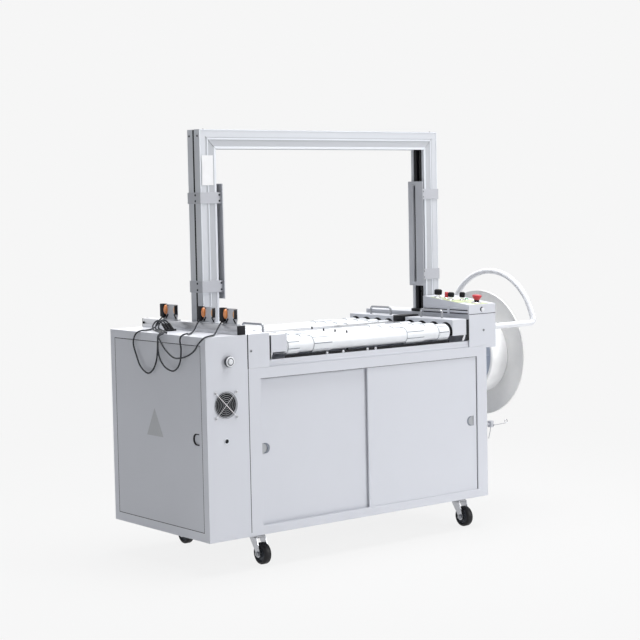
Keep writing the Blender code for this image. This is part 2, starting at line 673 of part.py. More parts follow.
def cabinet_fan():
    half = FAN_SIZE / 2
    y0, y1 = WALL + 0.0005, 0.028
    box = block((FAN_X - half, y0, FAN_Z - half), (FAN_X + half, y1, FAN_Z + half))
    bore = rod((FAN_X, -0.01, FAN_Z), (FAN_X, 0.04, FAN_Z), FAN_BORE, 20)
    piece("fan_frame", black_plastic(), [box], [bore])
    spider = bpy.data.objects["fan_frame"]
    for low, high in (
        ((FAN_X - half + 0.002, y1 - 0.0035, FAN_Z - 0.003), (FAN_X + half - 0.002, y1 - 0.0005, FAN_Z + 0.003)),
        ((FAN_X - 0.003, y1 - 0.0035, FAN_Z - half + 0.002), (FAN_X + 0.003, y1 - 0.0005, FAN_Z + half - 0.002)),
    ):
        join(spider, block(low, high))
    join(spider, rod((FAN_X, y1 - 0.0035, FAN_Z), (FAN_X, y1 - 0.0005, FAN_Z), 0.018, 16))

    middle = (FAN_X, 0.0148, FAN_Z)
    shapes = [rod((FAN_X, 0.006, FAN_Z), (FAN_X, 0.0238, FAN_Z), 0.0178, 16)]
    blades = 5
    for number in range(blades):
        blade = block((0.015, -0.0065, -0.0008), (0.0395, 0.0065, 0.0008))
        tilt = Matrix.Rotation(math.radians(40), 4, "X")
        round_hub = Matrix.Rotation(2 * math.pi * number / blades, 4, "Y")
        blade.transform(Matrix.Translation(middle) @ round_hub @ tilt)
        shapes.append(blade)
    piece("fan_rotor", black_plastic(), shapes, (), middle)

    y0, y1 = -0.0040, -GAP
    shapes = []
    for inner, outer in ((0.0425, 0.0455), (0.027, 0.030)):
        rim = [(y0, inner), (y0, outer), (y1, outer), (y1, inner)]
        shapes.append(turned(rim, (FAN_X, 0, FAN_Z), (0, 1, 0), 20, closed=True))
    shapes.append(rod((FAN_X, y0, FAN_Z), (FAN_X, y1, FAN_Z), 0.008, 12))
    reach = FAN_SIZE / 2 - 0.005
    for side in (-1, 1):
        start = (FAN_X - reach, (y0 + y1) / 2, FAN_Z - side * reach)
        end = (FAN_X + reach, (y0 + y1) / 2, FAN_Z + side * reach)
        shapes.append(rod(start, end, 0.0016, 6))
    piece("fan_grille", zinc(), shapes)


def join(obj, mesh):
    """Adds one more shape to a finished piece."""
    helper = bpy.data.objects.new(f"{obj.name}_union", mesh)
    helper.parent = datum
    helper.hide_render = True
    helper.display_type = "WIRE"
    bpy.context.scene.collection.objects.link(helper)
    modifier = obj.modifiers.new("Union", "BOOLEAN")
    modifier.operation = "UNION"
    modifier.object = helper


def lock_knob():
    profile = [(-0.012, 0.0068), (0.0004, 0.0068), (0.0004, 0.0180), (0.0054, 0.0180), (0.0054, 0.0125)]
    profile += [(0.0165, 0.0125), (KNOB_REACH, 0.0110)]
    shape = turned(profile, (SWITCH_X, 0, SWITCH_Z), (0, -1, 0), 16)
    piece("lock_knob", black_plastic(), [shape], (), (SWITCH_X, 0, SWITCH_Z))


def reel():
    shaft = [(BODY_LENGTH + GAP, 0.030), (1.090, 0.030), (1.090, SHAFT_RADIUS), (1.336, SHAFT_RADIUS)]
    shaft += [(1.336, 0.024), (1.350, 0.024)]
    centre = (0, REEL_Y, REEL_Z)
    piece("reel_shaft", machined_steel(), [turned(shaft, centre, (1, 0, 0), 16)])
    bore = SHAFT_RADIUS + 0.0008
    profile = [(DRUM_X[0], bore), (DRUM_X[0], DRUM_RADIUS), (DRUM_X[1], DRUM_RADIUS)]
    profile += [(FLANGE_X[0], REEL_RADIUS), (FLANGE_X[1], REEL_RADIUS), (FLANGE_X[1], bore)]
    wheel = turned(profile, centre, (1, 0, 0), 32, closed=True)
    piece("strap_reel", roller_plastic(), [wheel], (), centre)


def reel_hoop():
    """Bent tube round the reel, both legs pushed into the right housing."""
    (cy, cz), bend = HOOP_CENTRE, 0.018
    lean = math.degrees(math.asin((HOOP_LEG_Z + bend - cz) / HOOP_RADIUS))
    leg = [(RIGHT_HOUSING_X[1] - 0.009, -HOOP_LEG_OFFSET, HOOP_LEG_Z)]
    leg += [(x, -HOOP_LEG_OFFSET, z) for x, z in arc((HOOP_X - bend, HOOP_LEG_Z + bend), bend, -90, -15, 4)]
    top = [(HOOP_X, y, z + cz) for y, z in arc((0, 0), HOOP_RADIUS, 180 - lean, lean, 20)]
    route = leg + top + [(x, -y, z) for x, y, z in reversed(leg)]
    piece("reel_hoop", roller_plastic(), [tube([(x, cy + y, z) for x, y, z in route], HOOP_TUBE)])


def caster(place, x, y, trail):
    """Swivel fork and its wheel: the fork turns about Z, the wheel about its axle."""
    axle_y = y + trail
    hub = arc((axle_y, WHEEL_RADIUS), 0.011, 20, -200, 8)
    outline = [(y - 0.020, 0.094), (y + 0.020, 0.094), *hub]
    shapes = [block((x - 0.020, y - 0.020, 0.088), (x + 0.020, y + 0.020, 0.094))]
    shapes.append(rod((x, y, 0.093), (x, y, 0.1077), 0.022, 16))
    for inner, outer in ((-0.017, -0.0205), (0.017, 0.0205)):
        shapes.append(prism(outline, "x", x + min(inner, outer), x + max(inner, outer)))
    shapes.append(rod((x - 0.029, axle_y, WHEEL_RADIUS), (x + 0.029, axle_y, WHEEL_RADIUS), 0.004, 8))
    for side in (-1, 1):
        nut = sorted((x + side * 0.0200, x + side * 0.0270))
        shapes.append(rod((nut[0], axle_y, WHEEL_RADIUS), (nut[1], axle_y, WHEEL_RADIUS), 0.0085, 6))
    piece(f"caster_fork_{place}", zinc(), shapes, (), (x, y, 0.1077))

    sides = 20
    to_flat = 1 / math.cos(math.pi / sides)
    tread, shoulder, bore = WHEEL_RADIUS * to_flat, 0.033, 0.0050
    profile = [(-WHEEL_HALF, bore), (-WHEEL_HALF, shoulder), (-WHEEL_HALF + 0.003, tread)]
    profile += [(WHEEL_HALF - 0.003, tread), (WHEEL_HALF, shoulder), (WHEEL_HALF, bore)]
    centre = (x, axle_y, WHEEL_RADIUS)
    wheel = turned(profile, centre, (1, 0, 0), sides, True, math.pi / sides)
    piece(f"caster_wheel_{place}", finish("caster_rubber", (0.02, 0.02, 0.02), 0.6), [wheel], (), centre)


def casters():
    for row, y, trail in (("front", SWIVEL_Y[0], -CASTER_TRAIL), ("rear", SWIVEL_Y[1], CASTER_TRAIL)):
        for side, x in zip(("left", "right"), CASTER_X):
            caster(f"{row}_{side}", x, y, trail)


def main():
    global datum
    for obj in list(bpy.data.objects):
        bpy.data.objects.remove(obj)
    datum = bpy.data.objects.new("datum", None)
    datum.location = (SEAM_X, FRONT_Y, 0)
    bpy.context.scene.collection.objects.link(datum)
    main_frame()
    sliding_doors()
    rear_panel()
    electrical_cabinet()
    cabinet_door()
    left_housing()
    right_housing()
    control_box()
    controls()
    lifting_table("front_table", False)
    lifting_table("rear_table", True)
    rollers()
    centre_plate()
    arch_profile("arch_front_profile", False)
    arch_profile("arch_rear_profile", True)
    arch_strap_channel()
    arch_brackets_and_guards()
    sensor_bar()
    photo_sensors()
    cable_gland()
    sensor_cables()
    strapping_head()
    drive_motor()
    cabinet_fan()
    lock_knob()
    reel()
    reel_hoop()
    casters()


main()
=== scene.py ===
"""Looks of the arch strapping machine: finishes, moulded and turned pieces, cables and the studio."""

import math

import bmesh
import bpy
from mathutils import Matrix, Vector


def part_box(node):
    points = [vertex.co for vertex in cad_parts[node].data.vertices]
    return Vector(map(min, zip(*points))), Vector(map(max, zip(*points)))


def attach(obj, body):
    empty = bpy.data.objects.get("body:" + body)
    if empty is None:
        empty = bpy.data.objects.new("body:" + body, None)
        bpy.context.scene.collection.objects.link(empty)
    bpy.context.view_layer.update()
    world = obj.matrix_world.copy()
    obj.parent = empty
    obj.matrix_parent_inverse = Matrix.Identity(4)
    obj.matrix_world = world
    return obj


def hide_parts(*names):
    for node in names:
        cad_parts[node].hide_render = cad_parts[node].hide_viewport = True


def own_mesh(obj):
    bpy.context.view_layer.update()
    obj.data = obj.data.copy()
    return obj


bl_info = {
    "name": "Arch Strapping Machine Finish",
    "version": (1, 0, 0),
    "blender": (4, 5, 0),
    "location": "View3D > Sidebar > Strapper",
    "description": "Dresses the arch strapping machine's frame with its visible pieces and finishes",
    "category": "Object",
}

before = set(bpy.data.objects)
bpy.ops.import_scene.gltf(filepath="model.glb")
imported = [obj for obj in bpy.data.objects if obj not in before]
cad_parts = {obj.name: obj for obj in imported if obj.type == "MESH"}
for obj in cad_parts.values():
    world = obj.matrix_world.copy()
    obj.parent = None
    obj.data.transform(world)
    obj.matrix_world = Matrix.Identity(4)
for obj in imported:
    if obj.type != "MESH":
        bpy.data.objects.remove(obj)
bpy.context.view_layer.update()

# The seam between the cabinet and the main frame, at the front face and on the floor:
# every place below is measured from it, X along the machine, Y to the back, Z up.
BODY_LOW, BODY_HIGH = (Vector(corner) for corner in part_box("main_frame"))
ORIGIN = Vector((BODY_LOW.x, BODY_LOW.y, 0))


def low_of(node):
    return Vector(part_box(node)[0]) - ORIGIN


def high_of(node):
    return Vector(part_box(node)[1]) - ORIGIN


DEPTH = (BODY_HIGH - BODY_LOW).y
CABINET_LEFT = low_of("electrical_cabinet").x
CABINET_TOP = high_of("electrical_cabinet").z
ARCH_LOW, ARCH_HIGH = low_of("arch_front_profile"), high_of("arch_front_profile")
ARCH_FACE = 0.066  # width of the arch's profile, seen from the front
ROLLER_Z = 0.733
ROLLER_Y = (0.035, 0.100, 0.165, 0.230)
RAIL_FACES = (0.161, 0.914)  # X of the table rails' inner faces
PANEL_FRONT = 0.826
PANEL_SLOPE = 0.105
FAN_X, FAN_Z = -0.092, 0.561
FAN_SCREW_REACH = 0.0413
BOLT_LINE = 0.475  # X of the row of bolts across the tables
PLUG_HOLE = (-0.092, 0.442)
SWITCH = (-0.080, 0, 0.702)
DOOR_PULL = (0.0645, 0.4495)
SLIDE_PULL_Z, SLIDE_PULL_RADIUS = 0.400, 0.0175
LEG_REACH = 0.232  # the hoop's legs, to each side of its centre
CASTER_TRAIL = 0.028
GUIDE_Y = 0.050  # the strap guide's arm and wire
CORNERS = [(x, z) for x in (-1, 1) for z in (-1, 1)]
FRONT, LEFT = Vector((0, -1, 0)), Vector((-1, 0, 0))


# ---------------------------------------------------------------- shader expressions

class Value:
    """A shader socket that takes part in arithmetic: each operation adds its Math node."""

    def __init__(self, surface, link):
        self.surface = surface
        self.link = link

    def math(self, operation, *others):
        node = self.surface.add("ShaderNodeMath", {"operation": operation})
        for socket, value in zip(node.inputs, (self, *others)):
            if isinstance(value, Value):
                self.surface.tree.links.new(value.link, socket)
            else:
                socket.default_value = value
        return Value(self.surface, node.outputs[0])

    def __add__(self, other):
        return self.math("ADD", other)

    __radd__ = __add__

    def __mul__(self, other):
        return self.math("MULTIPLY", other)

    __rmul__ = __mul__

    def __sub__(self, other):
        return self.math("SUBTRACT", other)

    def __rsub__(self, other):
        return (self * -1) + other

    def above(self, limit):
        return self.math("GREATER_THAN", limit)


class Surface:
    """One material: a Principled shader and the nodes that feed it."""

    def __init__(self, name, **plain):
        self.material = bpy.data.materials.new(name)
        self.material.use_nodes = True
        self.tree = self.material.node_tree
        self.shader = self.tree.nodes["Principled BSDF"]
        self.place = self.out(self.add("ShaderNodeTexCoord"), "Object")
        for socket, value in plain.items():
            self.shader.inputs[socket.replace("_", " ")].default_value = value

    def add(self, kind, settings=None, values=None):
        node = self.tree.nodes.new(kind)
        for key, value in (settings or {}).items():
            setattr(node, key, value)
        for key, value in (values or {}).items():
            if isinstance(value, Value):
                self.tree.links.new(value.link, node.inputs[key])
            else:
                node.inputs[key].default_value = value
        return node

    def out(self, node, socket=0):
        return Value(self, node.outputs[socket])

    def feed(self, socket, value):
        self.tree.links.new(value.link, self.shader.inputs[socket])

    def noise(self, scale, detail=2.0, stretch=(1, 1, 1)):
        place = self.place
        if stretch != (1, 1, 1):
            place = self.out(self.add("ShaderNodeMapping", None, {"Vector": place, "Scale": stretch}))
        values = {"Vector": place, "Scale": scale, "Detail": detail}
        return self.out(self.add("ShaderNodeTexNoise", None, values), "Fac")

    def mix(self, factor, one, other):
        values = {0: factor, 6: (*one, 1), 7: (*other, 1)}
        return self.out(self.add("ShaderNodeMix", {"data_type": "RGBA"}, values), 2)

    def bump(self, height, depth, strength=1.0, normal=None):
        values = {"Height": height, "Distance": depth, "Strength": strength}
        if normal:
            values["Normal"] = normal
        self.feed("Normal", self.out(self.add("ShaderNodeBump", None, values)))


def tinted(colour, factor):
    return tuple(min(1.0, channel * factor) for channel in colour)


def powder_coat(name, colour, roughness=0.42, worn=True):
    """Baked powder paint with faint clouding and handling marks; worn adds orange peel and rounded edges."""
    surface = Surface(name, Specular_IOR_Level=0.3)
    clouds = surface.noise(2.6, 3)
    marks = surface.noise(17, 4)
    surface.feed("Base Color", surface.mix(clouds, tinted(colour, 0.965), tinted(colour, 1.03)))
    surface.feed("Roughness", marks * 0.14 + (roughness - 0.07))
    if worn:
        edge = surface.out(surface.add("ShaderNodeBevel", {"samples": 4}, {"Radius": 0.0012}), "Normal")
        surface.bump(surface.noise(900, 1), 0.0001, 0.06, edge)
    return surface.material


def moulded(name, colour, roughness=0.4, grain=900, shine=0.5):
    """Moulded plastic with a spark-eroded grain and slightly polished patches."""
    surface = Surface(name, Specular_IOR_Level=shine)
    patches = surface.noise(24, 3)
    surface.feed("Base Color", surface.mix(patches, tinted(colour, 0.93), tinted(colour, 1.07)))
    surface.feed("Roughness", surface.noise(60, 3) * 0.16 + (roughness - 0.08))
    surface.bump(surface.noise(grain, 2), 0.0002, 0.12)
    return surface.material


def brushed(name, colour, roughness=0.32, stretch=(1, 60, 60)):
    """Drawn or brushed metal, its lines along the axis that is stretched least."""
    surface = Surface(name, Metallic=1.0)
    lines = surface.noise(30, 4, stretch)
    surface.feed("Base Color", surface.mix(surface.noise(9, 3), tinted(colour, 0.88), tinted(colour, 1.08)))
    surface.feed("Roughness", lines * 0.22 + (roughness - 0.11))
    surface.bump(lines, 0.0001, 0.25)
    return surface.material


def zinc_plate(name, colour):
    """Bright zinc with the faint crystal spangle of plated pressings."""
    surface = Surface(name, Metallic=1.0)
    values = {"Vector": surface.place, "Scale": 160.0}
    cells = surface.out(surface.add("ShaderNodeTexVoronoi", None, values), "Distance")
    surface.feed("Base Color", surface.mix(cells, tinted(colour, 1.05), tinted(colour, 0.85)))
    surface.feed("Roughness", surface.noise(40, 3) * 0.2 + 0.2)
    surface.bump(surface.noise(300, 2), 0.0001, 0.2)
    return surface.material


def sheath(name, colour):
    """Extruded cable sheath: satin, with a fine dust in scattered specks."""
    surface = Surface(name, Specular_IOR_Level=0.25)
    dust = surface.noise(90, 4).above(0.62)
    surface.feed("Base Color", surface.mix(dust * 0.35, colour, tinted(colour, 3.0)))
    surface.feed("Roughness", surface.noise(50, 2) * 0.2 + 0.38)
    surface.bump(surface.noise(700, 2), 0.0001, 0.3)
    return surface.material


def lens(name, colour):
    """Moulded sensor lens, clear-coated, with faint clouding in its colour."""
    surface = Surface(name, Coat_Weight=0.6, Coat_Roughness=0.08)
    surface.feed("Base Color", surface.mix(surface.noise(45, 1), tinted(colour, 0.8), tinted(colour, 1.2)))
    surface.feed("Roughness", surface.noise(120, 2) * 0.15 + 0.18)
    return surface.material


# ---------------------------------------------------------------- modelling helpers

def axis_frame(axis):
    along = Vector(axis).normalized()
    reference = Vector((0, 0, 1)) if abs(along.z) < 0.9 else Vector((1, 0, 0))
    side = along.cross(reference).normalized()
    return along, side, side.cross(along)


def soften(bm, verts, width, segments=2):
    edges = {edge for vert in verts for edge in vert.link_edges if edge.calc_face_angle(0) > 0.5}
    bmesh.ops.bevel(bm, geom=list(edges), offset=width, segments=segments, profile=0.5,
                    affect="EDGES", material=-1, clamp_overlap=True)


def add_block(bm, low, high, soft=0.0, turn=None):
    low, high = Vector(low), Vector(high)
    place = Matrix.Translation((low + high) / 2) @ Matrix.Diagonal((*(high - low), 1))
    made = bmesh.ops.create_cube(bm, size=1, matrix=turn @ place if turn else place)["verts"]
    if soft:
        soften(bm, made, soft)


def add_blocks(bm, *boxes):
    """Adds a block for each (low, high) or (low, high, width of its softened edges)."""
    for low, high, *soft in boxes:
        add_block(bm, low, high, *soft)


def add_rod(bm, start, end, radius, segments=24, tip=None, soft=0.0):
    start, end = Vector(start), Vector(end)
    turn = (end - start).to_track_quat("Z", "Y").to_matrix().to_4x4()
    made = bmesh.ops.create_cone(
        bm, cap_ends=True, segments=segments, radius1=radius, radius2=radius if tip is None else tip,
        depth=(end - start).length, matrix=Matrix.Translation((start + end) / 2) @ turn)["verts"]
    if soft:
        soften(bm, made, soft)


def add_turned(bm, profile, centre, axis, steps=40, closed=False):
    """Spins a profile of (distance along the axis, radius) pairs round the axis."""
    along, side, _ = axis_frame(axis)
    centre = Vector(centre)
    verts = [bm.verts.new(centre + along * d + side * r) for d, r in profile]
    edges = [bm.edges.new(pair) for pair in zip(verts, verts[1:])]
    if closed:
        edges.append(bm.edges.new((verts[-1], verts[0])))
    bmesh.ops.spin(bm, geom=verts + edges, cent=centre, axis=along, dvec=(0, 0, 0),
                   angle=math.tau, steps=steps, use_merge=True, use_duplicate=False)


def add_ring(bm, centre, axis, radius, wire, steps=40, sides=8):
    angles = [math.tau * i / sides for i in range(sides)]
    profile = [(wire * math.cos(a), radius + wire * math.sin(a)) for a in angles]
    add_turned(bm, profile, centre, axis, steps, closed=True)


def add_prism(bm, outline, axis, low, high):
    """A flat outline pushed along x, where it holds (y, z), or along y, where it holds (x, z)."""
    points = [(low, a, b) if axis == "x" else (a, low, b) for a, b in outline]
    face = bm.faces.new([bm.verts.new(point) for point in points])
    made = bmesh.ops.extrude_face_region(bm, geom=[face])["geom"]
    moved = [item for item in made if isinstance(item, bmesh.types.BMVert)]
    step = (high - low, 0, 0) if axis == "x" else (0, high - low, 0)
    bmesh.ops.translate(bm, vec=step, verts=moved)


def arc(centre, radius, start, stop, steps):
    angles = [math.radians(start + (stop - start) * i / steps) for i in range(steps + 1)]
    return [(centre[0] + radius * math.cos(a), centre[1] + radius * math.sin(a)) for a in angles]


def mirrored(half):
    """A turned profile made symmetrical from its far half, listed from the bore outwards."""
    return [(-d, r) for d, r in half] + half[::-1]


def settle(obj, body, nodes):
    """Places a piece in the frame: what it replaces and the body that it rides."""
    bpy.context.scene.collection.objects.link(obj)
    if nodes:
        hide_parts(*nodes)
    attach(obj, body)
    return obj


def piece(name, bm, look, body="root", nodes=(), facet=40):
    """Turns a bmesh measured from the seam into a finished piece in the look's material."""
    bmesh.ops.remove_doubles(bm, verts=bm.verts, dist=1e-6)
    bmesh.ops.translate(bm, vec=ORIGIN, verts=bm.verts)
    bmesh.ops.recalc_face_normals(bm, faces=bm.faces)
    mesh = bpy.data.meshes.new(name)
    bm.to_mesh(mesh)
    bm.free()
    mesh.shade_smooth()
    mesh.set_sharp_from_angle(angle=math.radians(facet))
    mesh.materials.append(finish(look))
    return settle(bpy.data.objects.new(name, mesh), body, nodes)


def smooth_points(route, spacing):
    """Points at an even spacing on the smooth curve through a route."""
    route = [Vector(p) for p in route]
    padded = [2 * route[0] - route[1], *route, 2 * route[-1] - route[-2]]
    dense, fine = [], 24
    for a, b, c, d in zip(padded, padded[1:], padded[2:], padded[3:]):
        for i in range(fine):
            t = i / fine
            dense.append(0.5 * (2 * b + (c - a) * t + (2 * a - 5 * b + 4 * c - d) * t * t
                                + (3 * b - a - 3 * c + d) * t * t * t))
    dense.append(route[-1])
    length = sum((q - p).length for p, q in zip(dense, dense[1:]))
    steps = round(length / spacing)
    points, walked, wanted = [dense[0]], 0.0, length / steps
    for p, q in zip(dense, dense[1:]):
        stride = (q - p).length
        while len(points) < steps and walked + stride >= wanted * len(points):
            points.append(p.lerp(q, (wanted * len(points) - walked) / stride))
        walked += stride
    points.append(dense[-1])
    return points


def wire(name, points, radius, look, body="root", slot=None, nodes=(), sides=4):
    """A round rod bent along points measured from the seam, as a mesh tube."""
    curve = bpy.data.curves.new(name, "CURVE")
    curve.dimensions = "3D"
    curve.bevel_depth = radius
    curve.bevel_resolution = sides
    curve.use_fill_caps = True
    spline = curve.splines.new("POLY")
    spline.points.add(len(points) - 1)
    for slot_point, point in zip(spline.points, points):
        slot_point.co = (*(Vector(point) + ORIGIN), 1)
    maker = bpy.data.objects.new(name + "_line", curve)
    bpy.context.scene.collection.objects.link(maker)
    bpy.context.view_layer.update()
    mesh = bpy.data.meshes.new_from_object(maker.evaluated_get(bpy.context.evaluated_depsgraph_get()))
    bpy.data.objects.remove(maker)
    mesh.name = name
    mesh.shade_smooth()
    mesh.set_sharp_from_angle(angle=math.radians(50))
    mesh.materials.clear()
    mesh.materials.append(finish(look))
    return settle(bpy.data.objects.new(name, mesh), body, nodes)


def dress(look, *nodes):
    """Gives CAD nodes a finish through their material slots."""
    material = finish(look)
    for name in nodes:
        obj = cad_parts[name]
        if not obj.material_slots:
            obj.data.materials.append(material)
        for slot in obj.material_slots:
            slot.material = material


def table_y(y, section):
    return DEPTH - y if section == "rear" else y


def on_panel(x, y, height=0.0):
    normal = Vector((0, -PANEL_SLOPE, 1)).normalized()
    return Vector((x, y, PANEL_FRONT + PANEL_SLOPE * y)) + height * normal


def portal(outer, inner, foot):
    """U outline between two offsets from the arch's inner opening."""
    def corners(offset):
        left = ARCH_LOW.x + ARCH_FACE - offset
        return left, ARCH_HIGH.x - ARCH_FACE + offset, ARCH_HIGH.z - ARCH_FACE + offset

    (ax, bx, top), (cx, dx, inner_top) = corners(outer), corners(inner)
    return [(ax, foot), (ax, top), (bx, top), (bx, foot),
            (dx, foot), (dx, inner_top), (cx, inner_top), (cx, foot)]


# ---------------------------------------------------------------- sizes and colours

def length_property(name, description, default):
    return bpy.props.FloatProperty(name=name, description=description, default=default, unit="LENGTH")


class StrapperSizes(bpy.types.PropertyGroup):
    sleeve_radius: length_property("Sleeve radius", "Outer radius of the ribbed roller sleeves", 0.030)
    tube_radius: length_property("Tube radius", "Radius of the plain roller tube", 0.0265)
    sleeve_groove: length_property("Sleeve groove", "Width of the grooves along a sleeve", 0.0030)
    grille_wire: length_property("Grille wire", "Radius of the fan guard's wire", 0.0008)
    hoop_tube: length_property("Hoop tube", "Radius of the reel hoop's tube", 0.011)
    cable: length_property("Cable", "Diameter of the sensor cables", 0.0055)


def colour_property(name, description, default):
    return bpy.props.FloatVectorProperty(
        name=name, description=description, default=default, subtype="COLOR", size=3, min=0, max=1)


class StrapperColours(bpy.types.PropertyGroup):
    body: colour_property("Body", "Powder coat of the cabinet and frame", (0.615, 0.628, 0.675))
    arch: colour_property("Arch", "Paint of the arch profiles", (0.600, 0.618, 0.655))
    roller: colour_property("Roller", "Roller tubes and sleeves", (0.76, 0.78, 0.81))
    reel: colour_property("Reel", "Reel flange", (0.75, 0.75, 0.74))
    plates: colour_property("Legend plates", "Blank plates under the controls", (0.56, 0.63, 0.36))
    stop: colour_property("Stop", "Emergency stop and reset button", (0.50, 0.022, 0.035))
    amber: colour_property("Amber", "Sensor lenses", (0.90, 0.30, 0.09))


def sizes():
    return bpy.context.scene.strapper_sizes


def colours():
    return bpy.context.scene.strapper_colours


FINISHES = {}


def finish(name):
    """The finish of a name, made the first time that it is asked for."""
    tone = colours()
    recipes = {
        "body_paint": (powder_coat, tone.body),
        # end_paint: the body paint made darker for the faces that look to the machine's left, painted shade
        "end_paint": (powder_coat, tinted(tone.body, 0.92)),
        "bracket_paint": (powder_coat, tinted(tone.body, 0.78)),
        "arch_paint": (powder_coat, tone.arch, 0.34),
        # band_paint: the arch paint made darker for its recessed band and groove line, painted shade
        "band_paint": (powder_coat, tinted(tone.arch, 0.80), 0.5),
        # bright_paint: the arch paint made lighter for the arch's ridge, inner bead and outer edge, painted
        # highlight; also the plug hole's white ring
        "bright_paint": (powder_coat, tinted(tone.arch, 1.20), 0.3),
        "white_paint": (powder_coat, (0.74, 0.75, 0.78), 0.3),
        "tube_paint": (powder_coat, (0.74, 0.75, 0.78), 0.3, False),
        "roller_plastic": (moulded, tone.roller, 0.34, 600),
        # groove_plastic: dark grey for the floors of the sleeve grooves, painted shade; also the sliding
        # doors' pull lips
        "groove_plastic": (moulded, (0.20, 0.22, 0.26), 0.5, 600),
        "reel_plastic": (moulded, tone.reel, 0.5, 500, 0.3),
        "drum_plastic": (moulded, (0.90, 0.90, 0.90), 0.4, 500),
        # hub_plastic: dark blue grey of the reel hub, partly its own colour and partly painted shade on the
        # face behind the drum
        "hub_plastic": (moulded, (0.42, 0.47, 0.56), 0.45, 500),
        "black_plastic": (moulded, (0.012, 0.012, 0.015), 0.5, 900, 0.16),
        "dark_plastic": (moulded, (0.050, 0.055, 0.065), 0.5, 900, 0.25),
        "red_plastic": (moulded, tone.stop, 0.32),
        "green_plastic": (moulded, (0.03, 0.30, 0.10), 0.34),
        "plate_plastic": (moulded, tone.plates, 0.4),
        "grey_sticker": (moulded, (0.42, 0.43, 0.45), 0.5, 400),
        "pale_sticker": (moulded, (0.80, 0.80, 0.81), 0.45, 400),
        "recess_grey": (moulded, (0.40, 0.41, 0.43), 0.5),
        "caster_rubber": (sheath, (0.014, 0.014, 0.016)),
        "cable_rubber": (sheath, (0.026, 0.029, 0.036)),
        "zinc": (zinc_plate, (0.50, 0.51, 0.54)),
        "screw_steel": (brushed, (0.34, 0.35, 0.37), 0.3),
        "machined_steel": (brushed, (0.42, 0.43, 0.45), 0.34),
        "aluminium": (brushed, (0.58, 0.59, 0.62), 0.36, (60, 1, 60)),
        "chrome": (brushed, (0.82, 0.82, 0.84), 0.14),
        "amber_lens": (lens, tone.amber),
        "pale_lens": (lens, (0.92, 0.42, 0.15)),
    }
    if name not in FINISHES:
        maker, *settings = recipes[name]
        FINISHES[name] = maker(name, *settings)
    return FINISHES[name]


# ---------------------------------------------------------------- operators

CAMERA_LENS = 92.26
CAMERA_TURN = (-38.254, 90 - 4.21, -1.135)
CAMERA_PLACE = (-3.1273, -4.3519, 1.2223)


class CameraBuild(bpy.types.Operator):
    """Sets the studio camera at the machine's front left"""
    bl_idname = "strapper.camera"
    bl_label = "Camera"

    def execute(self, context):
        camera = bpy.data.cameras.new("studio_camera")
        camera.lens = CAMERA_LENS
        camera.clip_end = 60
        holder = bpy.data.objects.new("studio_camera", camera)
        yaw, pitch, roll = (math.radians(angle) for angle in CAMERA_TURN)
        turn = Matrix.Rotation(yaw, 4, "Z") @ Matrix.Rotation(pitch, 4, "X") @ Matrix.Rotation(roll, 4, "Z")
        holder.matrix_world = Matrix.Translation(ORIGIN + Vector(CAMERA_PLACE)) @ turn
        context.scene.collection.objects.link(holder)
        context.scene.camera = holder
        return {"FINISHED"}


# Each cable from its sensor, over the cabinet's edge, hanging by its end face, to its sleeve
GLAND_X = (-0.092, -0.080, -0.068)
GLAND_TIP = (0.366, 0.808)
HANG_X = {"rear": -0.178, "middle": -0.1845, "front": -0.191}
CABLE_STARTS = {
    "rear": [(-0.038, 0.456, 0.8215), (-0.048, 0.454, 0.814), (-0.070, 0.440, 0.797),
             (-0.105, 0.415, 0.7895), (-0.145, 0.392, 0.7890), (-0.167, 0.384, 0.7895)],
    "middle": [(-0.038, 0.224, 0.8215), (-0.048, 0.221, 0.813), (-0.070, 0.205, 0.796),
               (-0.105, 0.170, 0.7890), (-0.145, 0.128, 0.7895), (-0.168, 0.108, 0.7930)],
    "front": [(-0.038, 0.095, 0.8215), (-0.048, 0.091, 0.813), (-0.075, 0.070, 0.797),
              (-0.110, 0.034, 0.7890), (-0.147, 0.005, 0.7895), (-0.174, -0.003, 0.7850)],
}
CABLE_HANGS = {
    "rear": [(0.396, 0.782), (0.413, 0.766), (0.419, 0.742), (0.403, 0.708), (0.378, 0.670), (0.334, 0.649),
             (0.298, 0.664), (0.275, 0.699), (0.267, 0.742), (0.264, 0.770)],
    "middle": [(0.113, 0.786), (0.121, 0.770), (0.116, 0.743), (0.122, 0.704), (0.144, 0.677), (0.174, 0.668),
               (0.216, 0.679), (0.245, 0.705), (0.255, 0.735), (0.254, 0.762), (0.252, 0.780)],
    "front": [(0.006, 0.766), (0.026, 0.746), (0.060, 0.728), (0.100, 0.717), (0.151, 0.714), (0.201, 0.738),
              (0.230, 0.766), (0.238, 0.779)],
}
CABLE_EDGES = {"rear": (0.264, 0.031), "middle": (0.252, 0.022), "front": (0.239, 0.014)}


def cable_route(place, port_x):
    tip_y, tip_z = GLAND_TIP
    edge, drift = CABLE_EDGES[place]
    hang = [(HANG_X[place], y, z) for y, z in CABLE_HANGS[place]]
    over = [(-0.167, edge, 0.7897), (-0.150, edge + drift, 0.7892)]
    bend = [(port_x - 0.042, 0.340, 0.7892), (port_x - 0.035, 0.374, 0.7935), (port_x - 0.018, 0.394, 0.8085),
            (port_x - 0.006, 0.388, 0.8190)]
    tip = [(port_x, tip_y + 0.8 * out, tip_z + 0.6 * out) for out in (0.0120, 0.0060, 0.0006)]
    return CABLE_STARTS[place] + hang + over + bend + tip


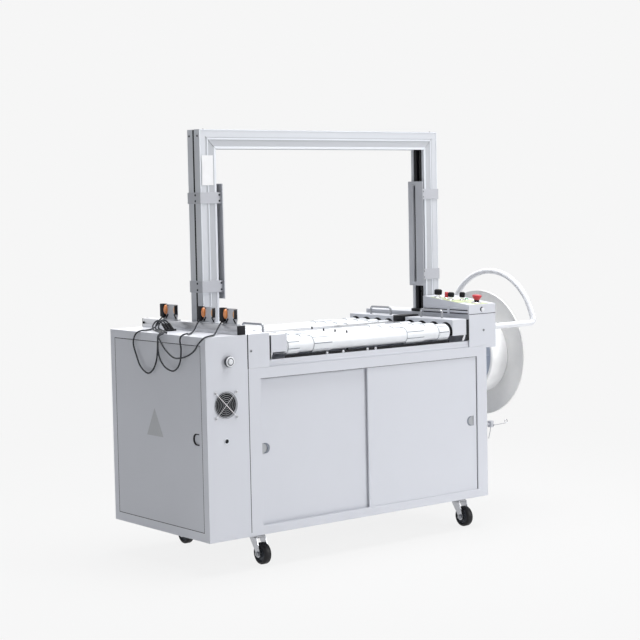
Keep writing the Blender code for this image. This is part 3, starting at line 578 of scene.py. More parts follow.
class CablesBuild(bpy.types.Operator):
    """Hangs the three sensor cables and makes the gland that they go into"""
    bl_idname = "strapper.cables"
    bl_label = "Sensor cables"

    def execute(self, context):
        for place, port_x in zip(("rear", "middle", "front"), GLAND_X):
            node = f"sensor_cable_{place}"
            points = smooth_points(cable_route(place, port_x), sizes().cable * 1.2)
            cable = wire(f"cable_{place}", points, sizes().cable / 2, "cable_rubber", nodes=[node])
            line = [point + ORIGIN for point in points]
            length = sum((q - p).length for p, q in zip(line, line[1:]))
            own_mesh(cable)
        bm = bmesh.new()
        base = CABINET_TOP + 0.0003
        add_block(bm, (GLAND_X[0] - 0.006, 0.326, base), (GLAND_X[-1] + 0.006, 0.350, base + 0.006), 0.0012)
        for x in GLAND_X:
            start, tip = Vector((x, 0.342, 0.790)), Vector((x, *GLAND_TIP))
            along = (tip - start).normalized()
            length = (tip - start).length
            profile = [(0, 0.0), (0, 0.0050)]
            ribs = 5
            for rib in range(ribs):
                at = length * (0.25 + 0.7 * rib / ribs)
                profile += [(at, 0.0050), (at + 0.0008, 0.0043), (at + 0.0022, 0.0043), (at + 0.003, 0.0050)]
            profile += [(length, 0.0046), (length, 0.0029), (length - 0.004, 0.0029), (length - 0.004, 0.0)]
            add_turned(bm, profile, start, along, 20)
        piece("gland_sleeves", bm, "black_plastic", nodes=["cable_gland"])
        return {"FINISHED"}


class PaintworkBuild(bpy.types.Operator):
    """Finishes the sheet metal, arch and castings that keep their frame shape"""
    bl_idname = "strapper.paintwork"
    bl_label = "Paintwork"

    def execute(self, context):
        brackets = [f"arch_bracket_{side}_{height}" for side in ("left", "right")
                    for height in ("lower", "upper")]
        dress("body_paint", "main_frame", "electrical_cabinet", "left_housing", "right_housing",
              "control_box", "rear_panel", "sliding_door_left", "sliding_door_right", "front_table",
              "rear_table")
        # the cabinet door's end face takes the darker copy of the body paint, painted shade
        dress("end_paint", "cabinet_door")
        dress("arch_paint", "arch_front_profile", "arch_rear_profile")
        dress("bracket_paint", *brackets, "side_guard_left", "side_guard_right")
        dress("black_plastic", "arch_strap_channel", "fan_frame", "fan_rotor")
        dress("zinc", "centre_plate")
        dress("machined_steel", "strapping_head", "drive_motor", "reel_shaft")
        dress("aluminium", "sensor_bar")
        return {"FINISHED"}


class RollersBuild(bpy.types.Operator):
    """Makes the eight rollers with their ribbed sleeves"""
    bl_idname = "strapper.rollers"
    bl_label = "Rollers"

    SLEEVES = ((0.1725, 0.222), (0.283, 0.362), (0.703, 0.785), (0.856, 0.9035))

    def sleeve_outline(self, centre, groove_share, phase):
        radius = sizes().sleeve_radius
        half = math.degrees(sizes().sleeve_groove / radius) / 2
        outline = []
        for stave in range(8):
            start = 45 * stave + phase
            outline += arc(centre, radius, start + half, start + 45 - half, 5)
            outline += arc(centre, radius * groove_share, start + 45 - half, start + 45 + half, 1)
        return outline

    def execute(self, context):
        left, right = RAIL_FACES
        tube = sizes().tube_radius
        for section in ("front", "rear"):
            for number, y in enumerate(ROLLER_Y, 1):
                centre = (0, table_y(y, section), ROLLER_Z)
                name = f"{section}_roller_{number}"
                bm = bmesh.new()
                end = [(0.0005, 0), (0.0005, 0.006), (0.003, 0.006), (0.003, tube - 0.002), (0.005, tube)]
                profile = [(left + x, r) for x, r in end] + [(right - x, r) for x, r in reversed(end)]
                add_turned(bm, profile, centre, (1, 0, 0), 40)
                piece(f"{name}_tube", bm, "roller_plastic", name, nodes=[name])
                bm = bmesh.new()
                for place, (start, stop) in enumerate(self.SLEEVES):
                    phase = (17 * number + 23 * place + (11 if section == "rear" else 0)) % 45
                    add_prism(bm, self.sleeve_outline(centre[1:], 0.93, phase), "x", start, stop)
                piece(f"{name}_sleeves", bm, "roller_plastic", name, facet=25)
                # a dark cylinder just under the sleeves shows at the floor of each groove: painted shade in
                # the grooves
                bm = bmesh.new()
                for start, stop in self.SLEEVES:
                    add_turned(bm, [(start + 0.0004, tube), (start + 0.0004, 0.0283), (stop - 0.0004, 0.0283),
                                    (stop - 0.0004, tube)], centre, (1, 0, 0), 40, closed=True)
                piece(f"{name}_grooves", bm, "groove_plastic", name)
        return {"FINISHED"}


class TablesBuild(bpy.types.Operator):
    """Adds black discs that paint the shade in the gaps round the rollers, and the bolts, handles and gussets
    of the two lifting tables
    """
    bl_idname = "strapper.tables"
    bl_label = "Lifting tables"

    def execute(self, context):
        for section in ("front", "rear"):
            body = f"{section}_table"
            bm = bmesh.new()
            # black discs on the rails' inner faces round each roller end: painted shade in the gaps round the
            # rollers
            for y in ROLLER_Y:
                at = table_y(y, section)
                for x in (0.1612, 0.9134):
                    add_rod(bm, (x, at, ROLLER_Z), (x + 0.0004, at, ROLLER_Z), 0.0350, 40)
            for y in (0.0675, 0.1325, 0.1975):
                at = table_y(y, section)
                top = 0.7655 if section == "front" else 0.7560
                add_rod(bm, (BOLT_LINE, at, 0.690), (BOLT_LINE, at, 0.757), 0.0032, 12)
                add_rod(bm, (BOLT_LINE, at, 0.7545), (BOLT_LINE, at, top), 0.0042, 12, 0.0020)
            self.trim_discs(bm)
            piece(f"{section}_table_gap_shade_and_bolts", bm, "black_plastic", body)
            for side, x in (("left", 0.130), ("right", 0.946)):
                route = [(0.090, 0.7775), (0.090, 0.797), (0.0905, 0.8005), (0.093, 0.8030),
                         (0.0965, 0.8058), (0.101, 0.806)]
                route += [(0.295 - y, z) for y, z in reversed(route)]
                points = [(x, table_y(y, section), z) for y, z in route]
                wire(f"{section}_handle_{side}", points, 0.0042, "screw_steel", body, "zinc")
            bm = bmesh.new()
            y0, y1 = sorted((table_y(0.0040, section), table_y(0.0060, section)))
            outline = [(0.0966, 0.7184), (0.1060, 0.7184), *arc((0.1120, 0.7010), 0.0130, 140, 215, 6),
                       (0.0966, 0.6975)]
            add_prism(bm, outline, "y", y0, y1)
            hook = [*arc((0.9560, 0.7184), 0.0255, -62, 0, 8), *arc((0.9540, 0.7184), 0.0190, 0, -50, 8)]
            add_prism(bm, hook, "y", y0, y1)
            piece(f"{section}_table_gussets", bm, "white_paint", body)
        return {"FINISHED"}

    @staticmethod
    def trim_discs(bm):
        """Keeps the black discs of painted shade inside the rails' height."""
        for limit, up in ((0.7765, 1), (0.7195, -1)):
            discs = [item for item in (*bm.verts, *bm.edges, *bm.faces) if on_rail(item)]
            cut = bmesh.ops.bisect_plane(bm, geom=discs, plane_co=(0, 0, limit), plane_no=(0, 0, up),
                                         clear_outer=True)
            edges = [item for item in cut["geom_cut"] if isinstance(item, bmesh.types.BMEdge)]
            bmesh.ops.holes_fill(bm, edges=edges)


def on_rail(item):
    """True for geometry that lies on a rail's inner face."""
    verts = [item] if isinstance(item, bmesh.types.BMVert) else item.verts
    return all(abs(vert.co.x - BOLT_LINE) > 0.1 for vert in verts)


class TrimBuild(bpy.types.Operator):
    """Adds the deck's black strips that paint the shade under the rollers and beside the rails, the tray's
    fold and bolts, the trunking in the shaded end paint, and black strips that paint the shade in the joints'
    gaps
    """
    bl_idname = "strapper.trim"
    bl_label = "Deck trim"

    def execute(self, context):
        # black strips under the front roller, in the gaps beside the rails and at the foot of the arch:
        # painted shade; the rod on the bolt line is a bolt
        bm = bmesh.new()
        add_blocks(bm, ((0.1630, 0.0145, 0.6725), (0.9120, 0.0160, 0.7040)),
                   ((0.0935, 0.0120, 0.6725), (0.9960, 0.0140, 0.6935)))
        for low, high in ((0.0897, 0.0955), (0.9830, 0.9965)):
            for y in (0.0010, DEPTH - 0.0030):
                add_block(bm, (low, y, 0.6980), (high, y + 0.0020, 0.7740))
        add_blocks(bm, ((0.905, 0.268, 0.7602), (0.990, 0.318, 0.782), 0.002),
                   ((0.9990, 0.264, 0.7915), (1.0150, 0.320, 0.803), 0.002))
        add_rod(bm, (BOLT_LINE, 0.2645, 0.7602), (BOLT_LINE, 0.2645, 0.7685), 0.0042, 12, 0.002)
        piece("deck_painted_shade_and_bolt", bm, "black_plastic")
        bm = bmesh.new()
        for x in (0.343, 0.4145, 0.523, 0.560):
            add_turned(bm, [(0, 0.0052), (0.0010, 0.0052), (0.0022, 0.0042), (0.0030, 0.0022), (0.0032, 0)],
                       (x, 0.0145, 0.6985), (0, -1, 0), 20)
        piece("tray_bolts", bm, "white_paint", "root")
        bm = bmesh.new()
        add_block(bm, (0.0930, 0.0042, 0.6722), (0.9965, 0.0058, 0.6800), 0.0005)
        piece("tray_fold", bm, "body_paint")
        bm = bmesh.new()
        add_blocks(bm, ((0.9948, 0.004, 0.7925), (0.9973, 0.245, 0.8150), 0.0004),
                   ((0.9936, 0.004, 0.8100), (0.9949, 0.245, 0.8150), 0.0004),
                   ((0.9936, 0.004, 0.7990), (0.9949, 0.245, 0.8040), 0.0004),
                   ((0.9915, 0.100, 0.7915), (0.9950, 0.111, 0.8200), 0.0005))
        # the trunking on the control box's left side takes the darker copy of the body paint, painted shade
        piece("control_trunking", bm, "end_paint", "root")
        # black strips over the seams and door gaps, and a ring round the control box lock: painted shade in
        # the gaps
        bm = bmesh.new()
        for z in (0.7925, 0.8042):
            add_block(bm, (0.9944, 0.0045, z), (0.9950, 0.2445, z + 0.0035))
        box_left, box_right = low_of("control_box").x, high_of("control_box").x
        seam = 0.0011
        add_blocks(bm, ((box_left - 0.0003, -0.0002, 0.7905), (box_right - 0.001, 0.0006, 0.7925)),
                   ((-seam, -0.0003, 0.1270), (seam, 0.0002, 0.6720)),
                   ((-seam * 1.8, -0.0003, 0.6720), (seam * 1.8, 0.0002, 0.7850)),
                   ((0.0503, 0.0145, 0.1460), (0.0526, 0.0185, 0.6350)),
                   ((0.0505, 0.0020, 0.6345), (1.0335, 0.0030, 0.6358)),
                   ((1.0318, 0.0045, 0.1460), (1.0336, 0.0085, 0.6350)))
        edge = CABINET_LEFT - 0.0002
        for y in (0.0294, 0.5548):
            add_block(bm, (edge, y, 0.1444), (edge + 0.0030, y + 0.0018, 0.7576))
        for z in (0.1444, 0.7558):
            add_block(bm, (edge, 0.0294, z), (edge + 0.0030, 0.5566, z + 0.0018))
        lock_gap = [(0, 0), (0, 0.0090), (0.0008, 0.0088), (0.0010, 0)]
        add_turned(bm, lock_gap, (1.062, 0.0003, 0.808), FRONT, 28)
        piece("joint_gap_shade", bm, "black_plastic")
        return {"FINISHED"}


class ScrewsBuild(bpy.types.Operator):
    """Sets the screws of the housings, arch, brackets and panels"""
    bl_idname = "strapper.screws"
    bl_label = "Screws"

    def execute(self, context):
        bm, recess = bmesh.new(), bmesh.new()
        heads = [((0.013, 0, 0.730), FRONT), ((1.069, 0, 0.731), FRONT)]
        heads += [((x, DEPTH, z), -FRONT) for x in (0.07, 0.54, 1.02) for z in (0.135, 0.650)]
        heads += [((x, DEPTH, 0.760), -FRONT) for x in (0.045, 1.064)]
        for centre, axis in heads:
            self.head(bm, recess, centre, axis, 0.0048)
        piece("housing_screws", bm, "screw_steel", "root")
        bm = bmesh.new()
        lock = [(0.0, 0.0074), (0.0026, 0.0074), (0.0032, 0.0066), (0.0032, 0)]
        add_turned(bm, lock, (1.0650, 0.0, 0.8065), FRONT, 28)
        piece("control_box_lock", bm, "white_paint", "root")
        piece("housing_screw_socket_shade", recess, "dark_plastic", "root")
        bm, recess = bmesh.new(), bmesh.new()
        for x, name in ((0.078, "left"), (1.008, "right")):
            for height in ("lower", "upper"):
                bracket = f"arch_bracket_{name}_{height}"
                low, high = low_of(bracket), high_of(bracket)
                side = low.x if name == "left" else high.x
                outward = LEFT if name == "left" else -LEFT
                for z in (low.z + 0.009, high.z - 0.009):
                    self.head(bm, recess, (x, low.y, z), FRONT, 0.0036)
                    self.head(bm, recess, (x, high.y, z), -FRONT, 0.0036)
                    self.head(bm, recess, (side, 0.283, z), outward, 0.0040)
        for y in (0.268, 0.316):
            self.head(bm, recess, (ARCH_LOW.x, y, ARCH_HIGH.z - 0.022), LEFT, 0.0036)
            self.head(bm, recess, (ARCH_HIGH.x, y, ARCH_HIGH.z - 0.022), -LEFT, 0.0036)
            for x in (ARCH_LOW.x + 0.024, ARCH_HIGH.x - 0.024):
                self.head(bm, recess, (x, y, ARCH_HIGH.z - 0.0005), Vector((0, 0, 1)), 0.0030)
        piece("arch_screws", bm, "dark_plastic", "root")
        piece("arch_screw_socket_shade", recess, "black_plastic")
        return {"FINISHED"}

    @staticmethod
    def head(bm, recess, centre, axis, radius):
        profile = [(0.0, radius), (0.0010, radius), (0.0020, radius * 0.75), (0.0024, radius * 0.3),
                   (0.0024, 0)]
        add_turned(bm, profile, centre, axis, 18)
        centre = Vector(centre)
        # a dark disc on each head paints the shade in its socket
        add_rod(recess, centre + axis * 0.0023, centre + axis * 0.0026, radius * 0.55, 6)


class ArchBuild(bpy.types.Operator):
    """Adds the arch's ridges and bands in lighter and darker copies of its paint, painted highlight and
    painted shade, its slit liner, strap guide, corner joints and blank label
    """
    bl_idname = "strapper.arch"
    bl_label = "Arch trim"

    def execute(self, context):
        foot = 0.794
        for face, out, name in ((ARCH_LOW.y, -1, "front"), (DEPTH - ARCH_LOW.y, 1, "rear")):
            # the band and groove line take a darker copy of the arch paint, painted shade; the ridge, inner
            # bead and edge take a lighter copy, painted highlight
            for label, outer, inner, proud, coat in (
                ("band", ARCH_FACE - 0.0345, 0.0085, 0.0003, "band_paint"),
                ("ridge", ARCH_FACE - 0.0300, ARCH_FACE - 0.0345, 0.0016, "bright_paint"),
                ("line", ARCH_FACE - 0.0255, ARCH_FACE - 0.0275, 0.0004, "band_paint"),
                ("lip", 0.0085, 0.0000, 0.0012, "bright_paint"),
                ("edge", ARCH_FACE, ARCH_FACE - 0.0040, 0.0010, "bright_paint"),
            ):
                bm = bmesh.new()
                low, high = sorted((face, face + out * proud))
                add_prism(bm, portal(outer, inner, foot), "y", low, high)
                piece(f"arch_{name}_{label}", bm, coat, "root")
            bm = bmesh.new()
            low, high = sorted((face, face + out * 0.0018))
            for outer_x, sign in ((ARCH_LOW.x, 1), (ARCH_HIGH.x, -1)):
                corner, width, start = ARCH_FACE, 0.0006, ARCH_FACE * 0.36
                add_prism(bm, [(outer_x + sign * (start + width), ARCH_HIGH.z - start),
                               (outer_x + sign * start, ARCH_HIGH.z - start - width),
                               (outer_x + sign * (corner - width), ARCH_HIGH.z - corner),
                               (outer_x + sign * corner, ARCH_HIGH.z - corner + width)], "y", low, high)
            piece(f"arch_{name}_mitres", bm, "recess_grey", "root")
        bm = bmesh.new()
        add_prism(bm, portal(ARCH_FACE - 0.0015, ARCH_FACE - 0.006, 0.790), "y", 0.2892, 0.2948)
        for x, out in ((ARCH_LOW.x, -0.0004), (ARCH_HIGH.x, 0.0004)):
            low, high = sorted((x, x + out))
            for z0, z1 in ((0.7860, 0.9128), (0.9532, 1.2148), (1.2532, ARCH_HIGH.z - 0.002)):
                add_block(bm, (low, 0.2878, max(z0, 0.7920 if x > 0.5 else z0)), (high, 0.2962, z1))
        piece("arch_slit_liner", bm, "black_plastic")
        bm = bmesh.new()
        add_prism(bm, portal(0.0142, 0.0120, 0.796), "y", 0.2885, 0.2955)
        piece("strap_guide_strip", bm, "zinc")
        bm = bmesh.new()
        add_block(bm, (0.010, ARCH_LOW.y - 0.0024, 1.277), (0.056, ARCH_LOW.y - 0.0016, 1.378))
        piece("blank_label_plate", bm, "pale_sticker", "root")
        return {"FINISHED"}


class SensorsBuild(bpy.types.Operator):
    """Makes the photo sensors on their plates and the bar's end cap"""
    bl_idname = "strapper.sensors"
    bl_label = "Photo sensors"

    def execute(self, context):
        base = high_of("sensor_bar").z + 0.0003
        for place in ("front", "middle", "rear"):
            node = f"photo_sensor_{place}"
            y0, y1 = low_of(node).y, high_of(node).y
            bm = bmesh.new()
            notch, top = 0.009, 0.870
            outline = [(y0 + 0.004, base), (y1 - 0.004, base), (y1 - 0.004, base + notch),
                       (y1, base + 2 * notch), (y1, top), (y0, top), (y0, base + 2 * notch),
                       (y0 + 0.004, base + notch)]
            add_prism(bm, outline, "x", -0.0262, -0.0240)
            add_block(bm, (-0.0345, y0 + 0.006, base), (-0.0095, y1 - 0.006, base + 0.0028), 0.0005)
            piece(f"{node}_plate", bm, "arch_paint", "root", [node])
            bm = bmesh.new()
            for y, lean in ((y0 + 0.016, -1), (y1 - 0.030, 1)):
                lean_turn = Matrix.Rotation(math.radians(40 * lean), 4, "X")
                turn = Matrix.Translation((0, y, base + 0.013)) @ lean_turn
                add_block(bm, (-0.0270, -0.0026, -0.0095), (-0.0261, 0.0026, 0.0095), 0.0, turn)
            for y in (y0 + 0.004, y1 - 0.036):
                add_rod(bm, (-0.0268, y, 0.8655), (-0.0261, y, 0.8655), 0.0024, 12)
            add_blocks(bm, ((-0.0375, y1 - 0.024, 0.826), (-0.0200, y1, 0.8715), 0.0022),
                       ((-0.0360, y1 - 0.016, 0.8215), (-0.0290, y1 - 0.006, 0.828), 0.0008),
                       ((-0.0375, y0, 0.836), (-0.0262, y0 + 0.0038, 0.867), 0.0012))
            piece(f"{node}_bodies", bm, "black_plastic")
            for label, y, way, radius, bulge, coat, narrowed, x in (
                ("lens", y1 - 0.0238, -1, 0.0165, 0.0098, "amber_lens", 0.50, -0.0287),
                ("reflector", y0 + 0.0036, 1, 0.0145, 0.0105, "pale_lens", 0.38, -0.0320),
            ):
                bm = bmesh.new()
                curve = [(bulge * math.sin(math.radians(a)), radius * math.cos(math.radians(a)) ** 0.6)
                         for a in range(0, 90, 15)]
                add_turned(bm, [(0, 0), *curve, (bulge, 0)], (0, 0, 0), (0, way, 0), 28)
                bmesh.ops.scale(bm, vec=(narrowed, 1, 1), verts=bm.verts)
                bmesh.ops.translate(bm, vec=(x, y, 0.851), verts=bm.verts)
                piece(f"{node}_{label}", bm, coat, "root")
        low, high = low_of("sensor_bar"), high_of("sensor_bar")
        bm = bmesh.new()
        add_blocks(bm, ((low.x, low.y - 0.0055, low.z), (high.x, low.y - 0.0002, high.z), 0.0012),
                   ((low.x, high.y + 0.0002, low.z), (high.x, high.y + 0.0035, high.z), 0.0012))
        piece("sensor_bar_caps", bm, "black_plastic")
        return {"FINISHED"}


class CabinetBuild(bpy.types.Operator):
    """Makes the fan guard, main switch, plug hole, blank sticker and finger pulls"""
    bl_idname = "strapper.cabinet"
    bl_label = "Cabinet fittings"

    def execute(self, context):
        thin = sizes().grille_wire
        bm = bmesh.new()
        y = -0.0016
        inner = Vector((FAN_X, y - 0.0012, FAN_Z))
        for sx, sz in CORNERS:
            corner = Vector((FAN_X + sx * FAN_SCREW_REACH, y - 0.0012, FAN_Z + sz * FAN_SCREW_REACH))
            add_rod(bm, inner, inner + (corner - inner) * 0.93, thin * (1.9 if sx * sz < 0 else 1.1), 8)
            add_ring(bm, corner, (0, 1, 0), 0.0042, thin, 20, 6)
        piece("fan_guard", bm, "chrome", nodes=["fan_grille"])
        bm = bmesh.new()
        for radius in (0.0060, 0.0124, 0.0188, 0.0252, 0.0316, 0.0380, 0.0442):
            add_ring(bm, (FAN_X, y, FAN_Z), (0, 1, 0), radius, thin * 1.1, 56, 6)
        piece("fan_guard_rings", bm, "screw_steel", "root")
        bm = bmesh.new()
        for sx, sz in CORNERS:
            add_turned(bm, [(0.0, 0.0034), (0.0038, 0.0034), (0.0052, 0.0020), (0.0055, 0)],
                       (FAN_X + sx * FAN_SCREW_REACH, 0, FAN_Z + sz * FAN_SCREW_REACH), FRONT, 16)
        piece("fan_screws", bm, "screw_steel", "root")
        bm = bmesh.new()
        # a black disc behind the fan paints the shade inside the cabinet, and a black disc on the face paints
        # the shade in the plug hole
        add_rod(bm, (FAN_X, 0.0284, FAN_Z), (FAN_X, 0.0294, FAN_Z), 0.0440, 40)
        plug_x, plug_z = PLUG_HOLE
        add_rod(bm, (plug_x, -0.0004, plug_z), (plug_x, 0.0, plug_z), 0.0072, 24)
        piece("fan_and_plug_hole_shade", bm, "black_plastic")
        bm = bmesh.new()
        add_ring(bm, (plug_x, -0.0006, plug_z), (0, 1, 0), 0.0088, 0.0017, 32, 8)
        piece("plug_hole_ring", bm, "bright_paint", "root")

        bm = bmesh.new()
        add_turned(bm, [(0.0052, 0.0100), (0.0052, 0.0172), (0.0062, 0.0180), (0.0128, 0.0180),
                        (0.0136, 0.0174), (0.0136, 0.0100)], SWITCH, FRONT, 40, closed=True)
        add_turned(bm, [(0.0138, 0.0096), (0.0138, 0.0124), (0.0150, 0.0124), (0.0150, 0.0096)],
                   SWITCH, FRONT, 36, closed=True)
        piece("main_switch_ring", bm, "dark_plastic", "lock_knob")
        bm = bmesh.new()
        add_turned(bm, [(0.0136, 0.0124), (0.0136, 0.0172), (0.0146, 0.0166), (0.0152, 0.0150),
                        (0.0152, 0.0124)], SWITCH, FRONT, 40, closed=True)
        add_turned(bm, [(0.0052, 0), (0.0052, 0.0094), (0.0160, 0.0094), (0.0176, 0.0080), (0.0178, 0.0060),
                        (0.0178, 0)], SWITCH, FRONT, 36)
        piece("main_switch_knob", bm, "white_paint", "lock_knob", ["lock_knob"])
        # a black ring between the switch's bezel ring and the cabinet face: painted shade under the bezel
        bm = bmesh.new()
        add_turned(bm, [(0.0, 0.0127), (0.0, 0.0150), (0.0048, 0.0150), (0.0048, 0.0127)], SWITCH, FRONT, 36,
                   closed=True)
        piece("main_switch_shade_ring", bm, "black_plastic")

        x = CABINET_LEFT
        bm = bmesh.new()
        add_prism(bm, [(0.312, 0.531), (0.262, 0.437), (0.362, 0.437)], "x", x - 0.0004, x + 0.0001)
        piece("blank_triangle_sticker", bm, "grey_sticker", "cabinet_door")
        bm = bmesh.new()
        add_prism(bm, [*arc(DOOR_PULL, 0.0190, -90, 90, 16), (0.0470, 0.4685), (0.0470, 0.4305)], "x",
                  x + 0.0034, x + 0.0037)
        # the pull's face takes the darker copy of the body paint, painted shade
        piece("cabinet_door_pull", bm, "end_paint", "cabinet_door")
        bm = bmesh.new()
        lip = [*arc(DOOR_PULL, 0.0192, -90, 90, 16), (0.0500, 0.4687), (0.0500, 0.4655),
               *arc((0.0620, 0.4495), 0.0160, 90, -90, 16), (0.0500, 0.4335), (0.0500, 0.4303)]
        add_prism(bm, lip, "x", x + 0.0001, x + 0.0034)
        piece("cabinet_door_pull_lip", bm, "black_plastic", "cabinet_door")
        z, radius = SLIDE_PULL_Z, SLIDE_PULL_RADIUS
        for side, cx, track, sign in (("left", 0.074, 0.014, -1), ("right", 1.001, 0.004, 1)):
            door = f"sliding_door_{side}"
            start = 90 if sign > 0 else -90
            flat = cx + sign * 0.0155
            bow = arc((cx, z), radius, start, start + 180, 16)
            bm = bmesh.new()
            add_prism(bm, [*bow, (flat, z - sign * radius), (flat, z + sign * radius)], "y", track + 0.0031,
                      track + 0.0034)
            piece(f"{door}_pull", bm, "recess_grey", door)
            bm = bmesh.new()
            crescent = [*bow, *arc((cx + sign * 0.0060, z), 0.0150, start + 180, start, 16)]
            add_prism(bm, crescent, "y", track + 0.0002, track + 0.0031)
            piece(f"{door}_pull_lip", bm, "groove_plastic", door)
        return {"FINISHED"}


# Each control's place on the panel, with the bore and the rim of its bezel
CONTROLS = {
    "speed_dial": (1.018, 0.190, 0.0075, 0.0150),
    "reset_button": (1.037, 0.164, 0.0074, 0.0090),
    "tension_dial": (1.023, 0.125, 0.0075, 0.0125),
    "mode_selector": (1.059, 0.103, 0.0075, 0.0100),
    "start_button": (1.076, 0.096, 0.0069, 0.0085),
    "emergency_stop": (1.066, 0.032, 0.0106, 0.0195),
}
PLATES = ((0.9995, 1.040, 0.172, 0.212), (1.020, 1.058, 0.149, 0.170), (1.000, 1.042, 0.104, 0.147),
          (1.044, 1.096, 0.074, 0.124), (1.000, 1.040, 0.060, 0.098), (1.036, 1.100, 0.006, 0.062))


class ControlsBuild(bpy.types.Operator):
    """Makes the dials, buttons and emergency stop with their blank plates"""
    bl_idname = "strapper.controls"
    bl_label = "Controls"

    def execute(self, context):
        normal = on_panel(0, 0, 1) - on_panel(0, 0)
        bm = bmesh.new()
        tilt = Matrix.Translation((0, 0, PANEL_FRONT)) @ Matrix.Rotation(math.atan(PANEL_SLOPE), 4, "X")
        for x0, x1, y0, y1 in PLATES:
            add_block(bm, (x0, y0, 0.0002), (x1, y1, 0.0012), 0.0, tilt)
        piece("legend_plates", bm, "plate_plastic", "root")
        self.dial("speed_dial", 0.0142, 0.0315, normal)
        self.dial("tension_dial", 0.0118, 0.0290, normal)
        self.dial("mode_selector", 0.0098, 0.0310, normal)
        for name, radius, height, coat in (("reset_button", 0.0070, 0.024, "red_plastic"),
                                           ("start_button", 0.0065, 0.008, "green_plastic")):
            bm = bmesh.new()
            cap = [(0, 0), (0, radius), (height - 0.0015, radius), (height, radius - 0.0015), (height, 0)]
            add_turned(bm, cap, on_panel(*CONTROLS[name][:2]), normal, 28)
            piece(f"{name}_cap", bm, coat, name, nodes=[name])
        stop = on_panel(*CONTROLS["emergency_stop"][:2])
        bm = bmesh.new()
        add_turned(bm, [(0.0125, 0), (0.0125, 0.0098), (0.0150, 0.0120), (0.0240, 0.0172), (0.0270, 0.0176),
                        (0.0292, 0.0166), (0.0300, 0.0140), (0.0300, 0)], stop, normal, 36)
        piece("emergency_stop_cap", bm, "red_plastic", "emergency_stop", nodes=["emergency_stop"])
        bm = bmesh.new()
        add_turned(bm, [(-0.010, 0), (-0.010, 0.0096), (0.0128, 0.0096), (0.0128, 0)], stop, normal, 28)
        piece("emergency_stop_neck", bm, "black_plastic", "emergency_stop")
        bm = bmesh.new()
        for x, y, bore, rim in CONTROLS.values():
            profile = [(0.0018, bore), (0.0018, rim), (0.0036, rim - 0.0008), (0.0044, rim - 0.0022),
                       (0.0044, bore)]
            add_turned(bm, profile, on_panel(x, y), normal, 32, closed=True)
        piece("control_bezels", bm, "chrome")
        return {"FINISHED"}

    @staticmethod
    def dial(name, radius, height, normal):
        bm = bmesh.new()
        centre = on_panel(*CONTROLS[name][:2])
        cap = [(0.012, 0), (0.012, radius * 0.92), (0.014, radius * 0.96), (height - 0.0025, radius * 0.93),
               (height - 0.0008, radius * 0.84), (height, radius * 0.7), (height, 0)]
        add_turned(bm, cap, centre, normal, 32)
        along, side, up = axis_frame(normal)
        for rib in range(16):
            a = math.tau * rib / 16
            foot = centre + (math.cos(a) * side + math.sin(a) * up) * radius * 0.95
            add_rod(bm, foot + along * 0.0135, foot + along * (height - 0.003), 0.0010, 6)
        piece(f"{name}_cap", bm, "black_plastic", name, nodes=[name])
        bm = bmesh.new()
        add_turned(bm, [(0.0, 0), (0.0, 0.0068), (0.0118, 0.0068), (0.0118, 0)], centre, normal, 24)
        pointer = centre + side * radius * 0.45
        add_rod(bm, pointer + along * height, pointer + along * (height + 0.0004), 0.0012, 8)
        piece(f"{name}_collar", bm, "chrome", name)


